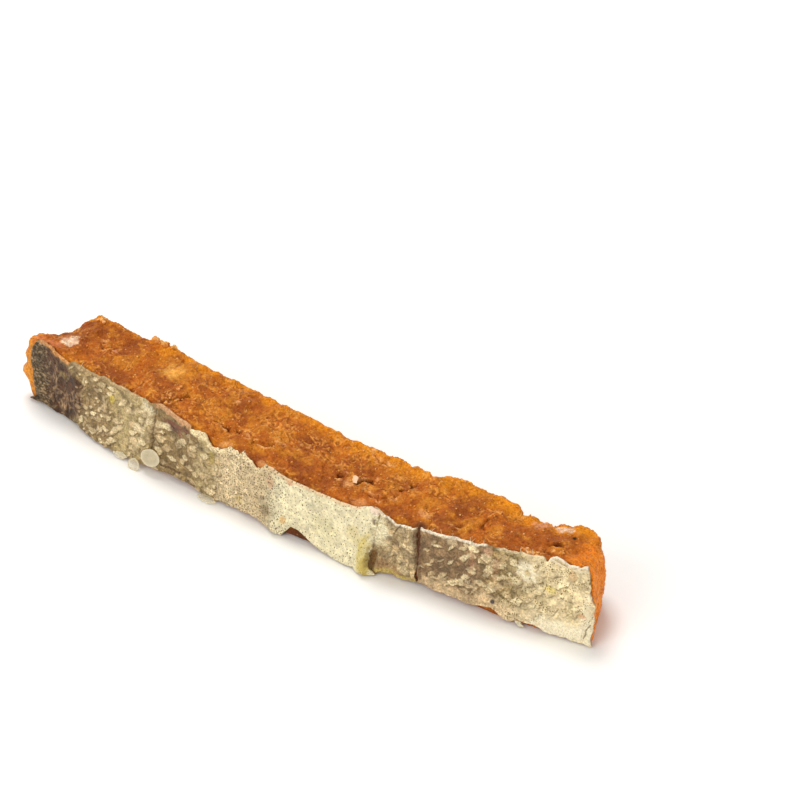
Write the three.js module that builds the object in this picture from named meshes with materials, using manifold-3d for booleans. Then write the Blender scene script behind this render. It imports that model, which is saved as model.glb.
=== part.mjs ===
// A dried strip of pressed salmon mince with the fish's skin along one long side, lying on a table.
// Millimetres. X runs along the strip, the skin faces -Y, +Z is up and the table is z = 0.
import * as THREE from 'three';
import { mergeVertices } from 'three/addons/utils/BufferGeometryUtils.js';
import Module from 'manifold-3d';

// ---- Driving dimensions -------------------------------------------------------------------------

const leftEnd = -66.4;
const rightEnd = 66.9;
const skinThickness = 0.8;
const fitGap = 0.3; // between the skin and the mince, and between two pieces of skin
const browHeight = 15; // where the line named skinBrow is measured
const slitCentre = 31.8; // the crack that parts the skin right of the middle
const slitWidth = 0.8;
const lipOverlap = 1.6; // how far the middle skin runs in under the rolled lip of the left skin
const liftRun = 2.2; // length over which the left skin lifts off the mince before that overlap
const liftGap = 0.4; // and how far before the overlap it has lifted
const endBulge = 0.8; // how far each end of the mince swells past its cut

// Lines along the strip, as [x, value] pairs measured on the real strip and joined by smooth curves
const skinFoot = [ // y of the skin's outer face at the table
  [-67, -7.0], [-62, -7.2], [-55, -8.0], [-49, -10.0], [-43, -11.3], [-34, -11.6], [-25, -11.4],
  [-15, -12.0], [-7, -12.3], [1, -13.0], [8, -12.7], [17, -13.4], [21, -13.0], [25, -11.7],
  [31, -10.4], [41, -10.0], [48, -9.8], [56, -8.8], [64, -7.1], [68, -6.5],
];
const skinBrow = [ // y of the same face at browHeight
  [-67, -7.0], [-62, -7.5], [-54, -8.4], [-40, -9.7], [-29, -10.6], [-21, -11.2], [-9, -11.8],
  [5, -12.0], [17, -11.8], [24, -11.3], [34, -10.6], [46, -9.2], [55, -7.8], [60, -6.9], [68, -5.8],
];
const skinTop = [ // z of the skin's top edge, with its dips
  [-67, 15.8], [-64, 16.2], [-61, 16.6], [-54, 15.4], [-40, 15.5], [-29, 16.2], [-21, 14.6],
  [-17.5, 13.2], [-15.3, 11.6], [-12, 13.4], [-8.7, 14.2], [-6.3, 13.4], [-4.4, 12.6], [-2.6, 14.1],
  [5, 13.2], [17, 13.3], [20, 14.0], [22.8, 14.9], [24.5, 14.0], [28, 13.0], [32, 13.9], [46, 15.3],
  [55, 16.3], [58, 16.5], [59.4, 17.5], [66, 17.0], [68, 16.6],
];
const skinHem = [ // z of its bottom edge: it stands clear of the table, with one deep notch
  [-68, 0.3], [-60, 0.3], [-50, 0.4], [-38, 0.5], [-31, 0.6], [-27, 1.1], [-23, 1.2], [-17, 0.3],
  [-12, 0.5], [-7.5, 0.9], [-4, 0.7], [-0.8, 0.2], [1.6, 0.2], [2.8, 1.6], [3.8, 2.7], [5.4, 2.6],
  [7, 1.8], [9, 1.0], [12, 0.5], [17, 0.2], [23, 0.3], [27, 0.5], [32, 0.6], [44, 0.5], [46, 1.6],
  [48.2, 1.8], [49.6, 0.8], [51.4, 0.6], [53, 1.5], [56.5, 1.6], [58.5, 0.8], [61, 0.3], [68, 0.2],
];
const meatBrow = [ // z of the mince's top face beside the skin
  [-68, 14.6], [-65, 15.4], [-61, 16.2], [-54, 15.2], [-40, 15.3], [-29, 15.6], [-20, 14.5],
  [-8, 13.9], [5, 13.0], [17, 13.1], [24, 13.6], [34, 13.9], [46, 15.0], [55, 16.0], [61, 16.5],
  [68, 16.3],
];
const meatBack = [ // y of the mince's back face
  [-67, 9.8], [-61, 8.9], [-56, 8.6], [-42, 9.0], [-34, 8.3], [-23, 7.5], [-7, 6.4], [6, 5.4],
  [18, 5.4], [24, 5.7], [31, 6.9], [38, 6.8], [43, 6.6], [48, 5.2], [53, 5.3], [57, 6.6], [63, 8.5],
  [67, 6.8],
];
const meatRidge = [[-68, 14.2], [-30, 14.0], [20, 14.0], [68, 14.0]]; // z of the top face at the back
const meatSag = [[-68, 1.4], [-58, 0.6], [-44, 0.1], [50, 0], [68, 0.3]]; // dip along the top's middle
const endLean = [[-67, 0.33], [-58, 0.26], [-44, 0], [44, 0], [56, -0.28], [67, -0.45]]; // dx for each dy

// Left and right edges of each piece of skin, as [share of its height, x] pairs
const lipEdge = [[0, 22.3], [0.25, 21.2], [0.55, 21.4], [0.8, 22.6], [1, 23.4]];
const slitEdge = [[0, slitCentre - 0.1], [1, slitCentre + 0.2]];
const shifted = (edge, by) => edge.map(([share, x]) => [share, x + by]);
// Lifts is 1 for the piece whose right edge stands off the mince, over the start of the next piece.
// Folds are soft swellings of the outer face: centre x and z, half width along and up, and height.
// Scales are loose ones that cling to it: centre, half width, half height, and how many degrees the
// top leans to the back.
const skins = [
  {
    name: 'skin_left',
    start: [[0, -66.9], [0.1, -65.2], [0.45, -65.3], [0.62, -65.6], [0.82, -64.9], [1, -63.0]],
    end: lipEdge,
    lifts: 1,
    columns: 62,
    folds: [
      { at: [-52.5, 7.0], half: [1.6, 5.0], out: 0.4 },
      { at: [-43.0, 9.0], half: [1.8, 4.0], out: 0.3 },
      { at: [-33.5, 8.5], half: [1.1, 5.0], out: 0.7 }, // flap left of the dart
      { at: [-29.5, 8.0], half: [1.3, 4.5], out: 0.5 }, // flap right of the dart
      { at: [-17.0, 9.5], half: [1.5, 3.5], out: 0.5 },
      { at: [-8.7, 11.5], half: [1.4, 2.5], out: 0.4 },
      { at: [0.4, 1.9], half: [1.9, 1.7], out: 1.1 }, // pouch beside the notch
      { at: [2.0, 8.0], half: [3.0, 4.5], out: 0.3 },
      { at: [20.4, 4.0], half: [1.5, 3.6], out: 1.6 }, // rolled lip, low part
      { at: [22.0, 12.0], half: [1.4, 3.0], out: 0.9 }, // rolled lip, top part
    ],
    scales: [
      { at: [-32.0, -11.6, 2.4], wide: 2.3, high: 2.2, lean: 4 },
      { at: [-35.7, -12.4, 1.55], wide: 1.35, high: 1.9, lean: 44 },
      { at: [-40.0, -11.5, 1.2], wide: 2.6, high: 0.9, lean: 10 },
      { at: [-17.2, -12.0, 2.1], wide: 2.2, high: 2.0, lean: 6 },
      { at: [0.8, -13.85, 1.4], wide: 1.7, high: 1.3, lean: 12 },
    ],
  },
  {
    name: 'skin_middle',
    start: shifted(lipEdge, -lipOverlap),
    end: shifted(slitEdge, -slitWidth / 2),
    lifts: 0,
    columns: 9,
    folds: [{ at: [29.5, 9.0], half: [1.7, 4.5], out: 0.5 }],
    scales: [],
  },
  {
    name: 'skin_right',
    start: shifted(slitEdge, slitWidth / 2),
    end: [[0, 67.5], [0.4, 67.2], [1, 66.2]],
    lifts: 0,
    columns: 26,
    folds: [
      { at: [44.5, 9.5], half: [1.8, 4.0], out: 0.4 },
      { at: [61.0, 6.0], half: [4.0, 5.0], out: 0.3 },
    ],
    scales: [{ at: [51.9, -9.6, 1.1], wide: 1.7, high: 0.9, lean: 24 }],
  },
];
const skinRows = 9;
const scaleThickness = 0.5;
// The dent behind the rolled lip, which the mince and the middle skin follow
const lipHollow = { at: [24.8, 4.8], half: [2.4, 3.6], out: -1.5 };

// Holes and cracks in the top face: centre x and y, half length, half width, depth, turn in degrees
const pits = [
  { x: 14.4, y: -4.2, long: 1.6, wide: 0.9, deep: 2.2, turn: 20 },
  { x: 9.7, y: -5.3, long: 1.1, wide: 0.7, deep: 1.2, turn: 10 },
  { x: 23.2, y: -2.2, long: 1.0, wide: 0.6, deep: 1.1, turn: 40 },
  { x: 23.6, y: -0.2, long: 0.8, wide: 0.4, deep: 0.8, turn: 30 },
  { x: 56.9, y: -2.4, long: 1.7, wide: 0.8, deep: 1.4, turn: 25 },
  { x: -29.6, y: -8.2, long: 1.5, wide: 0.45, deep: 1.0, turn: 62 },
  { x: -28.6, y: -4.6, long: 1.9, wide: 0.45, deep: 1.1, turn: 82 },
  { x: -17.2, y: -6.1, long: 1.6, wide: 0.55, deep: 1.1, turn: 5 },
  { x: -14.0, y: -5.9, long: 1.2, wide: 0.45, deep: 0.9, turn: 12 },
  { x: -8.0, y: -6.6, long: 2.4, wide: 0.4, deep: 0.9, turn: 26 },
  { x: -3.2, y: -3.8, long: 3.0, wide: 0.4, deep: 0.9, turn: 32 },
  { x: 37.3, y: -6.2, long: 1.0, wide: 0.4, deep: 0.7, turn: 30 },
  { x: 41.6, y: -3.2, long: 1.2, wide: 0.5, deep: 0.8, turn: 55 },
  { x: -53.2, y: 0.8, long: 1.7, wide: 0.5, deep: 0.9, turn: 100 },
];
// Lumps and dents of the end faces: centre y and z, half width across and up, and height
const endLumps = {
  left: [
    { at: [-5.2, 6.0], half: [2.6, 3.4], out: 2.5 },
    { at: [1.5, 14.0], half: [2.5, 4.0], out: -1.0 },
  ],
  right: [{ at: [3.5, 7.0], half: [4.0, 5.0], out: 0.5 }],
};
const endReach = 5; // how far from an end its lumps are felt
const capRoughness = 0.6; // share of the unevenness that the end faces' bulge takes
// Notches bitten out of the back edge: centre x, half width along, depth into the strip
const backNotches = [
  { x: 25.2, along: 1.4, deep: 1.6 },
  { x: 45.4, along: 1.5, deep: 1.7 },
  { x: -14.0, along: 1.0, deep: 0.5 },
  { x: 55.3, along: 0.8, deep: 0.8 },
];

const meatStations = 84;
const meatRound = 40;
const capRings = [[0.86, 0.45], [0.62, 0.8], [0.3, 0.98]]; // share of the section, share of the bulge
const cornerRound = 0.16; // share of the half width and half height that a corner's arc takes
const roughness = { longest: 12, shortest: 2.6, waves: 14, height: 0.45 };
// Where the uneven ground fades in, in units of the rounded square: towards an edge, and up a side
const edgeFade = [0.7, 0.95];
const sideFade = [-0.95, -0.5];

// ---- Helpers ------------------------------------------------------------------------------------

const mix = (a, b, t) => a + (b - a) * t;
const bell = (distance, width) => Math.exp(-((distance / width) ** 2));
const smoothstep = (a, b, x) => THREE.MathUtils.smoothstep(x, a, b);

// A smooth curve through [x, value] pairs: cubic pieces whose slope at a point is the harmonic mean of
// its two chords, and flat where the line turns there, so that it never overshoots a dip or a rise.
function smoothLine(pairs) {
  const chords = pairs.slice(1).map(([x, value], i) => (value - pairs[i][1]) / (x - pairs[i][0]));
  const slopes = pairs.map((_, i) => {
    const before = chords[Math.max(i - 1, 0)];
    const after = chords[Math.min(i, chords.length - 1)];
    return before * after > 0 ? (2 * before * after) / (before + after) : 0;
  });
  return (x) => {
    const last = pairs.length - 2;
    const i = Math.min(Math.max(pairs.findIndex(([knot]) => knot > x) - 1, 0), last);
    const piece = x >= pairs[last + 1][0] ? last : i;
    const [x0, v0] = pairs[piece];
    const [x1, v1] = pairs[piece + 1];
    const width = x1 - x0;
    const t = THREE.MathUtils.clamp((x - x0) / width, 0, 1);
    const rise = (t * t) * (3 - 2 * t);
    const startPull = t * (1 - t) * (1 - t) * width * slopes[piece];
    const endPull = t * t * (t - 1) * width * slopes[piece + 1];
    return mix(v0, v1, rise) + startPull + endPull;
  };
}

// Uneven ground: a sum of plane waves, each turned by the golden angle and a bit shorter than the last
function unevenness(a, b, turn = 0) {
  const { longest, shortest, waves, height } = roughness;
  const goldenAngle = Math.PI * (3 - Math.sqrt(5));
  let sum = 0;
  for (let i = 0; i < waves; i++) {
    const length = longest * (shortest / longest) ** (i / (waves - 1));
    const angle = goldenAngle * i + turn;
    const along = a * Math.cos(angle) + b * Math.sin(angle);
    sum += Math.sin((2 * Math.PI * along) / length + angle * angle) * Math.sqrt(length / longest);
  }
  return (height * sum) / Math.sqrt(waves);
}

const line = {
  foot: smoothLine(skinFoot),
  brow: smoothLine(skinBrow),
  skinTop: smoothLine(skinTop),
  hem: smoothLine(skinHem),
  meatTop: smoothLine(meatBrow),
  back: smoothLine(meatBack),
  ridge: smoothLine(meatRidge),
  sag: smoothLine(meatSag),
  lean: smoothLine(endLean),
};

// Height at (across, z) of a list of soft bumps
function bumps(list, across, z) {
  return list.reduce((sum, { at, half, out }) => (
    sum + out * bell(across - at[0], half[0]) * bell(z - at[1], half[1])), 0);
}

// y of the skin's smooth outer face: straight from foot to brow, dented by the hollow behind the lip
function face(x, z) {
  return mix(line.foot(x), line.brow(x), z / browHeight) - bumps([lipHollow], x, z);
}

// A closed surface from rows of points: each row is a closed ring and joins the next, and the first
// and last rows are closed by a single middle point.
function closedTube(rings, firstPole, lastPole) {
  const count = rings[0].length;
  const points = [...rings.flat(), firstPole, lastPole];
  const first = points.length - 2;
  const triangles = [];
  for (let r = 0; r < rings.length - 1; r++) {
    for (let k = 0; k < count; k++) {
      const a = r * count + k;
      const b = r * count + ((k + 1) % count);
      triangles.push(a, b, a + count, b, b + count, a + count);
    }
  }
  const lastRing = (rings.length - 1) * count;
  for (let k = 0; k < count; k++) {
    const next = (k + 1) % count;
    triangles.push(first, next, k);
    triangles.push(first + 1, lastRing + k, lastRing + next);
  }
  return solidGeometry(points, triangles);
}

function solidGeometry(points, triangles) {
  const geometry = new THREE.BufferGeometry();
  geometry.setAttribute('position', new THREE.Float32BufferAttribute(points.flat(), 3));
  geometry.setIndex(triangles);
  return geometry;
}

const manifold = await Module();
manifold.setup();

function toSolid(geometry) {
  const bare = geometry.clone();
  bare.deleteAttribute('normal');
  bare.deleteAttribute('uv');
  const welded = mergeVertices(bare, 1e-4);
  const mesh = new manifold.Mesh({
    numProp: 3,
    vertProperties: new Float32Array(welded.attributes.position.array),
    triVerts: new Uint32Array(welded.index.array),
  });
  return new manifold.Manifold(mesh);
}

function toGeometry(solid) {
  const mesh = solid.getMesh();
  const geometry = new THREE.BufferGeometry();
  geometry.setAttribute('position', new THREE.BufferAttribute(mesh.vertProperties, 3));
  geometry.setIndex(new THREE.BufferAttribute(mesh.triVerts, 1));
  return geometry;
}

// ---- Mince --------------------------------------------------------------------------------------

// A point of the rounded unit square at angle 'turn', as [to the back, up], each from -1 to 1
function roundedSquare(turn) {
  const reach = Math.max(Math.abs(Math.cos(turn)), Math.abs(Math.sin(turn)));
  const across = Math.cos(turn) / reach;
  const up = Math.sin(turn) / reach;
  const core = 1 - cornerRound;
  const overAcross = Math.max(Math.abs(across) - core, 0);
  const overUp = Math.max(Math.abs(up) - core, 0);
  const over = Math.hypot(overAcross, overUp);
  const pull = over > cornerRound ? cornerRound / over : 1;
  return [
    Math.sign(across) * (Math.min(Math.abs(across), core) + overAcross * pull),
    Math.sign(up) * (Math.min(Math.abs(up), core) + overUp * pull),
  ];
}

// The mince's surface: the rounded square stretched between the skin and the back face, from the
// table to the top face, then made uneven on the top and the back only, so that the side behind
// the skin stays smooth and the underside stays flat.
function mincePoint(station, across, up, scale) {
  const share = (across * scale + 1) / 2;
  const rise = (up * scale + 1) / 2;
  const flatTop = mix(line.meatTop(station), line.ridge(station), share);
  const z = rise * (flatTop - line.sag(station) * Math.sin(Math.PI * share));
  const front = face(station, z) + skinThickness + fitGap;
  let y = mix(front, line.back(station), share);
  const onTop = smoothstep(...edgeFade, up * scale);
  const onBack = smoothstep(...edgeFade, across * scale) * smoothstep(...sideFade, up * scale);
  for (const notch of backNotches) {
    y -= notch.deep * bell(station - notch.x, notch.along) * onBack;
  }
  y += onBack * unevenness(station, z, 1);
  const leftShare = 1 - smoothstep(leftEnd, leftEnd + endReach, station);
  const rightShare = smoothstep(rightEnd - endReach, rightEnd, station);
  const x = station + line.lean(station) * (y - line.foot(station))
    - leftShare * bumps(endLumps.left, y, z) + rightShare * bumps(endLumps.right, y, z);
  return [x, y, z + onTop * unevenness(x, y)];
}

function mince() {
  const turns = Array.from({ length: meatRound }, (_, k) => (2 * Math.PI * (k + 0.5)) / meatRound);
  const section = turns.map(roundedSquare);
  const ring = (station, scale, shift) => section.map(([across, up]) => {
    const [x, y, z] = mincePoint(station, across, up, scale);
    return [x + shift * (1 + capRoughness * unevenness(y, z, 2)), y, z];
  });
  const pole = (station, shift) => {
    const [x, y, z] = mincePoint(station, 0, 0, 0);
    return [x + shift, y, z];
  };
  const body = [];
  for (let i = 0; i <= meatStations; i++) {
    body.push(ring(mix(leftEnd, rightEnd, i / meatStations), 1, 0));
  }
  const leftCap = capRings.map(([scale, share]) => ring(leftEnd, scale, -endBulge * share)).reverse();
  const rightCap = capRings.map(([scale, share]) => ring(rightEnd, scale, endBulge * share));
  const rings = [...leftCap, ...body, ...rightCap];
  return closedTube(rings, pole(leftEnd, -endBulge), pole(rightEnd, endBulge));
}

// A pit is a low-sided egg that sinks 'deep' below the top face
function pitGeometry(pit) {
  const top = mix(line.meatTop(pit.x), line.ridge(pit.x), 0.5);
  const egg = new THREE.SphereGeometry(1, 8, 6);
  egg.rotateX(Math.PI / 2);
  egg.scale(pit.long, pit.wide, pit.deep);
  egg.rotateZ(THREE.MathUtils.degToRad(pit.turn));
  egg.translate(pit.x, pit.y, top + unevenness(pit.x, pit.y));
  return egg;
}

function carvedMince() {
  let solid = toSolid(mince());
  for (const pit of pits) {
    solid = solid.subtract(toSolid(pitGeometry(pit)));
  }
  return toGeometry(solid);
}

// ---- Skin ---------------------------------------------------------------------------------------

// One piece of skin: a sheet of even thickness against the mince, swollen outwards at its folds. The
// left piece lifts off the mince at its right edge, to pass over the start of the middle piece.
function skinSheet({ start, end, lifts, columns, folds }) {
  const startEdge = smoothLine(start);
  const endEdge = smoothLine(end);
  const lifted = Math.min(...lipEdge.map(([, x]) => x)) - lipOverlap - liftGap;
  const rows = [];
  for (let c = 0; c <= columns; c++) {
    const outer = [];
    const inner = [];
    for (let r = 0; r <= skinRows; r++) {
      const share = r / skinRows;
      const x = mix(startEdge(share), endEdge(share), c / columns);
      const z = mix(line.hem(x), line.skinTop(x), share);
      const lift = lifts * (skinThickness + fitGap) * smoothstep(lifted - liftRun, lifted, x);
      outer.push([x, face(x, z) - lift - bumps(folds, x, z), z]);
      inner.push([x, face(x, z) + skinThickness - lift, z]);
    }
    rows.push([...inner, ...outer.reverse()]);
  }
  const middle = (ring) => {
    const sum = ring.reduce((total, point) => total.map((value, i) => value + point[i]), [0, 0, 0]);
    return sum.map((value) => value / ring.length);
  };
  return closedTube(rows, middle(rows[0]), middle(rows[rows.length - 1]));
}

function scaleGeometry({ at, wide, high, lean }) {
  const lens = new THREE.SphereGeometry(1, 12, 4);
  lens.scale(wide, scaleThickness / 2, high);
  lens.rotateX(THREE.MathUtils.degToRad(-lean));
  lens.translate(...at);
  return lens;
}

function skinWithScales(skin) {
  let solid = toSolid(skinSheet(skin));
  for (const scale of skin.scales) {
    solid = solid.add(toSolid(scaleGeometry(scale)));
  }
  return toGeometry(solid);
}

// ---- The strip ----------------------------------------------------------------------------------

const finishes = {
  meat: new THREE.MeshStandardMaterial({ color: 0xb5652b, roughness: 0.5, metalness: 0 }),
  skin_left: new THREE.MeshStandardMaterial({ color: 0xb2a277, roughness: 0.55, metalness: 0 }),
  skin_middle: new THREE.MeshStandardMaterial({ color: 0xae9670, roughness: 0.55, metalness: 0 }),
  skin_right: new THREE.MeshStandardMaterial({ color: 0xc0a67d, roughness: 0.55, metalness: 0 }),
};

const strip = new THREE.Group();
function addPiece(name, geometry) {
  const piece = new THREE.Mesh(geometry, finishes[name]);
  piece.name = name;
  strip.add(piece);
}

addPiece('meat', carvedMince());
for (const skin of skins) {
  addPiece(skin.name, skinWithScales(skin));
}

// The origin is under the middle of the strip's box
const box = new THREE.Box3().setFromObject(strip);
const middle = box.getCenter(new THREE.Vector3());
strip.position.set(-middle.x, -middle.y, -box.min.z);

export default strip;
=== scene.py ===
# %% [markdown]
# # A dried salmon strip
# The object is a bar of pressed and dried salmon mince, about as long as a hand, with the fish's own
# skin dried onto one long side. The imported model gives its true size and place. This script dresses
# it: the mince and each piece of skin are made again as fine surfaces over the same measured lines,
# and loose scales, crumbs and threads are laid on them.

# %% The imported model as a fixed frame
import itertools
import math

import bpy
import numpy as np
from mathutils import Matrix, Vector


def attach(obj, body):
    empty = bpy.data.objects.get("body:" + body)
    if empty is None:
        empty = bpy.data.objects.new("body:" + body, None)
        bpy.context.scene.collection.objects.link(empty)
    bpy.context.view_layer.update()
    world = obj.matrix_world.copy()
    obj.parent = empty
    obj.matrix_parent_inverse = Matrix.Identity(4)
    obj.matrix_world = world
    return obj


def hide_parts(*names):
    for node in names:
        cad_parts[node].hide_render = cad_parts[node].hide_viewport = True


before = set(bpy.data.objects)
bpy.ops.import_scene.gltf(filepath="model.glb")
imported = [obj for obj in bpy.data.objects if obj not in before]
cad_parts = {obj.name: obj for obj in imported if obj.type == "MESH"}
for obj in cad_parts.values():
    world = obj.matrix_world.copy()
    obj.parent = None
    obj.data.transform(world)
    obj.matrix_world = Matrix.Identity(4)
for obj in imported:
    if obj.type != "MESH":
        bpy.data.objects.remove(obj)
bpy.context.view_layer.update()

print("packed nodes:", sorted(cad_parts))

# %% [markdown]
# ## Lines, bumps and curves
# Food has no exact edges, yet it has lines that an eye can follow: the foot of the skin, its top edge,
# the back of the bar. Each line is a few measured points joined by a smooth curve. A curve that stays
# flat where the line turns never swings past a dip, which a plain spline would do.

# %% Small helpers
MM = 0.001
PLACE = np.array((0.533, 2.764, 0.0))  # from the origin of the measured lines to the frame's, in mm


def mix(a, b, t):
    """A value between a and b: a where t is 0, b where t is 1."""
    return a + (b - a) * t


def bell(distance, width):
    """One at distance 0, falling off as e to the minus square of distance over width."""
    return np.exp(-(distance / width) ** 2)


def smoothstep(a, b, x):
    """Zero before a, one after b, and 3t^2 - 2t^3 in between. It also runs down, where a is over b."""
    t = np.clip((x - a) / (b - a), 0, 1)
    return t * t * (3 - 2 * t)


def smooth_line(pairs):
    """A curve through [x, value] pairs: cubics whose slope at a point is the harmonic mean of the two
    chords that meet there, and zero where they turn."""
    knots, values = np.array(pairs, float).T
    widths = np.diff(knots)
    chords = np.diff(values) / widths
    before = np.append(chords[0], chords)
    after = np.append(chords, chords[-1])
    onward = before * after > 0
    slopes = np.where(onward, 2 * before * after / np.where(onward, before + after, 1), 0)

    def line(x):
        piece = np.clip(np.searchsorted(knots, x, side="right") - 1, 0, len(widths) - 1)
        width = widths[piece]
        t = np.clip((x - knots[piece]) / width, 0, 1)
        pulls = (1 - t) * slopes[piece] - t * slopes[piece + 1]
        return mix(values[piece], values[piece + 1], t * t * (3 - 2 * t)) + t * (1 - t) * width * pulls

    return line


def bumps(listed, across, up):
    """The sum of soft bumps, each out * bell(across) * bell(up) about its own centre."""
    total = 0.0
    for centre_across, centre_up, half_across, half_up, out in listed:
        total = total + out * bell(across - centre_across, half_across) * bell(up - centre_up, half_up)
    return total


# %% [markdown]
# ## Random ground that is the same each time
# Mince is a packed heap of grains, so its surface is random at every scale. Blender's noise modifiers
# could do it, but a formula in numpy gives the same bumps each run, and its values can also be used
# for colour, so that hollows are dark and grains are bright. A hash turns each cell of a lattice into
# a number; blending the numbers gives soft ground, and the distance to one point in each cell gives
# packed grains with creases between them.

# %% Noise and grains
def hashed(cells, seed):
    """A number from 0 to 1 for each whole-number cell: its coordinates, mixed by odd factors."""
    a = cells.astype(np.int64).astype(np.uint32)
    n = a[..., 0] * np.uint32(0x9E3779B1)
    n ^= a[..., 1] * np.uint32(0x85EBCA77)
    n ^= a[..., 2] * np.uint32(0xC2B2AE3D)
    n += np.uint32(seed * 0x01000193)
    for shift, factor in ((15, 0x2C1B3C6D), (12, 0x297A2D39)):
        n ^= n >> np.uint32(shift)
        n *= np.uint32(factor)
    n ^= n >> np.uint32(15)
    return n / 2.0 ** 32


def noise(points, size, seed=0):
    """Soft ground from -1 to 1: a random value at each corner of a lattice of cubes, blended smoothly."""
    scaled = points / size
    cell = np.floor(scaled)
    t = scaled - cell
    t = t * t * (3 - 2 * t)
    total = 0.0
    for corner in itertools.product((0, 1), repeat=3):
        corner = np.array(corner)
        total = total + np.prod(np.where(corner, t, 1 - t), axis=-1) * hashed(cell + corner, seed)
    return 2 * total - 1


def layered_noise(points, size, layers=4, seed=0):
    """Noise of halving size and height, added up."""
    total = 0.0
    for layer in range(layers):
        total = total + noise(points, size / 2 ** layer, seed + layer) / 2 ** layer
    return total


def grains(points, size, seed=0, jitter=0.9):
    """Distance to the nearest and to the second nearest scattered point, one in each cube, in cubes,
    and the nearest one's own random number."""
    scaled = points / size
    cell = np.floor(scaled)
    nearest = np.full(scaled.shape[:-1], 9.0)
    second = nearest.copy()
    own = nearest.copy()
    for step in itertools.product((-1, 0, 1), repeat=3):
        corner = cell + np.array(step)
        spread = np.stack([hashed(corner, seed + axis) for axis in (1, 2, 3)], axis=-1)
        distance = np.linalg.norm(scaled - corner - 0.5 - jitter * (spread - 0.5), axis=-1)
        closer = distance < nearest
        second = np.where(closer, nearest, np.minimum(second, distance))
        own = np.where(closer, hashed(corner, seed + 4), own)
        nearest = np.where(closer, distance, nearest)
    return nearest, second, own


def flat(x, z):
    """Points of the skin's own plane, for noise and grains that don't depend on its depth."""
    return np.stack([x, z, np.full(np.shape(x), 0.5)], axis=-1)


# %% [markdown]
# ## The strip's measured lines
# These are the driving sizes of the strip, in millimetres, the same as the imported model's. X runs
# along the strip, the skin faces -Y, and z is 0 on the table.

# %% Lines along the strip
LEFT_END, RIGHT_END = -66.4, 66.9
BROW_HEIGHT = 15.0  # where the skin's upper line is measured
HIDE_THICKNESS = 0.62
BOND = 0.12  # how far the mince presses into the skin's inside
SLIT_CENTRE = 31.7
LIP_OVERLAP = 1.6  # how far the next piece of skin runs on under the lip

skin_foot = smooth_line([
    (-67, -7.0), (-62, -7.2), (-55, -8.0), (-49, -10.0), (-43, -11.3), (-34, -11.6), (-25, -11.4),
    (-15, -12.0), (-7, -12.3), (1, -13.0), (8, -12.7), (17, -13.4), (21, -13.0), (25, -11.7),
    (31, -10.4), (41, -10.0), (48, -9.8), (56, -8.8), (64, -7.1), (68, -6.5)])
skin_brow = smooth_line([
    (-67, -7.0), (-62, -7.5), (-54, -8.4), (-40, -9.7), (-29, -10.6), (-21, -11.2), (-9, -11.8),
    (5, -12.0), (17, -11.8), (24, -11.3), (34, -10.6), (46, -9.2), (55, -7.8), (60, -6.9), (68, -5.8)])
skin_top = smooth_line([
    (-67, 15.8), (-64, 16.2), (-61, 16.5), (-58.5, 15.9), (-56, 14.8), (-54.6, 14.6), (-53, 15.2),
    (-40, 15.5), (-31, 15.8), (-29, 16.2), (-21, 14.7), (-20.4, 14.5), (-17.3, 14.6), (-16.6, 13.6),
    (-15.0, 12.2), (-12.6, 13.2), (-11.3, 14.2), (-9.8, 13.8), (-7.9, 14.5), (-6.3, 13.4),
    (-4.5, 12.6), (-2.6, 14.1),
    (5, 13.2), (17, 13.3), (20, 14.0), (22.8, 14.9), (24.5, 14.0), (28, 13.0), (32, 13.9),
    (46, 15.3), (55, 16.3), (57.1, 16.4), (57.8, 15.5), (58.5, 16.8), (59.5, 17.4), (61.0, 17.1),
    (62.3, 16.6), (64, 17.0), (65.6, 17.2), (68, 16.6)])
skin_hem = smooth_line([
    (-68, 0.3), (-60, 0.3), (-50, 0.4), (-38, 0.5), (-31, 0.6), (-27, 1.1), (-23, 1.2), (-17, 0.3),
    (-12, 0.5), (-7.5, 0.9), (-4, 0.7), (-0.8, 0.2), (1.6, 0.2), (2.8, 1.6), (3.8, 2.7), (5.4, 2.6),
    (7, 1.8), (9, 1.0), (12, 0.5), (17, 0.2), (23, 0.3), (27, 0.5), (32, 0.8), (38, 1.2), (43, 0.9),
    (46, 1.6), (48.2, 1.8), (49.6, 0.8), (51.4, 0.4), (53, 1.1), (56.5, 1.3), (58.5, 0.7), (61, 0.3),
    (68, 0.2)])
meat_top = smooth_line([
    (-68, 14.6), (-65, 15.4), (-61, 16.2), (-54, 15.2), (-40, 15.3), (-29, 15.6), (-20, 14.5),
    (-8, 13.9), (5, 13.0), (17, 13.1), (24, 13.6), (34, 13.9), (46, 15.0), (55, 16.0), (61, 16.5),
    (68, 16.3)])
meat_back = smooth_line([
    (-67, 9.8), (-61, 8.9), (-56, 8.6), (-42, 9.0), (-34, 8.3), (-23, 7.5), (-7, 6.4), (6, 5.4),
    (18, 5.4), (24, 5.7), (31, 6.9), (38, 6.8), (43, 6.6), (48, 5.2), (53, 5.3), (57, 6.6),
    (63, 8.5), (67, 6.8)])
meat_ridge = smooth_line([(-68, 14.2), (-30, 14.0), (20, 14.0), (68, 14.0)])
meat_sag = smooth_line([(-68, 1.4), (-58, 0.6), (-44, 0.1), (50, 0.0), (68, 0.3)])
end_lean = smooth_line([(-67, 0.33), (-58, 0.26), (-44, 0.0), (44, 0.0), (56, -0.28), (67, -0.45)])
LIP_HOLLOW = (24.8, 4.8, 2.4, 3.6, -1.5)  # centre x and z, half width along and up, depth


def face(x, z):
    """y of the skin's smooth outer face: straight from foot to brow, dented behind the rolled lip."""
    return mix(skin_foot(x), skin_brow(x), z / BROW_HEIGHT) - bumps([LIP_HOLLOW], x, z)


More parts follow.
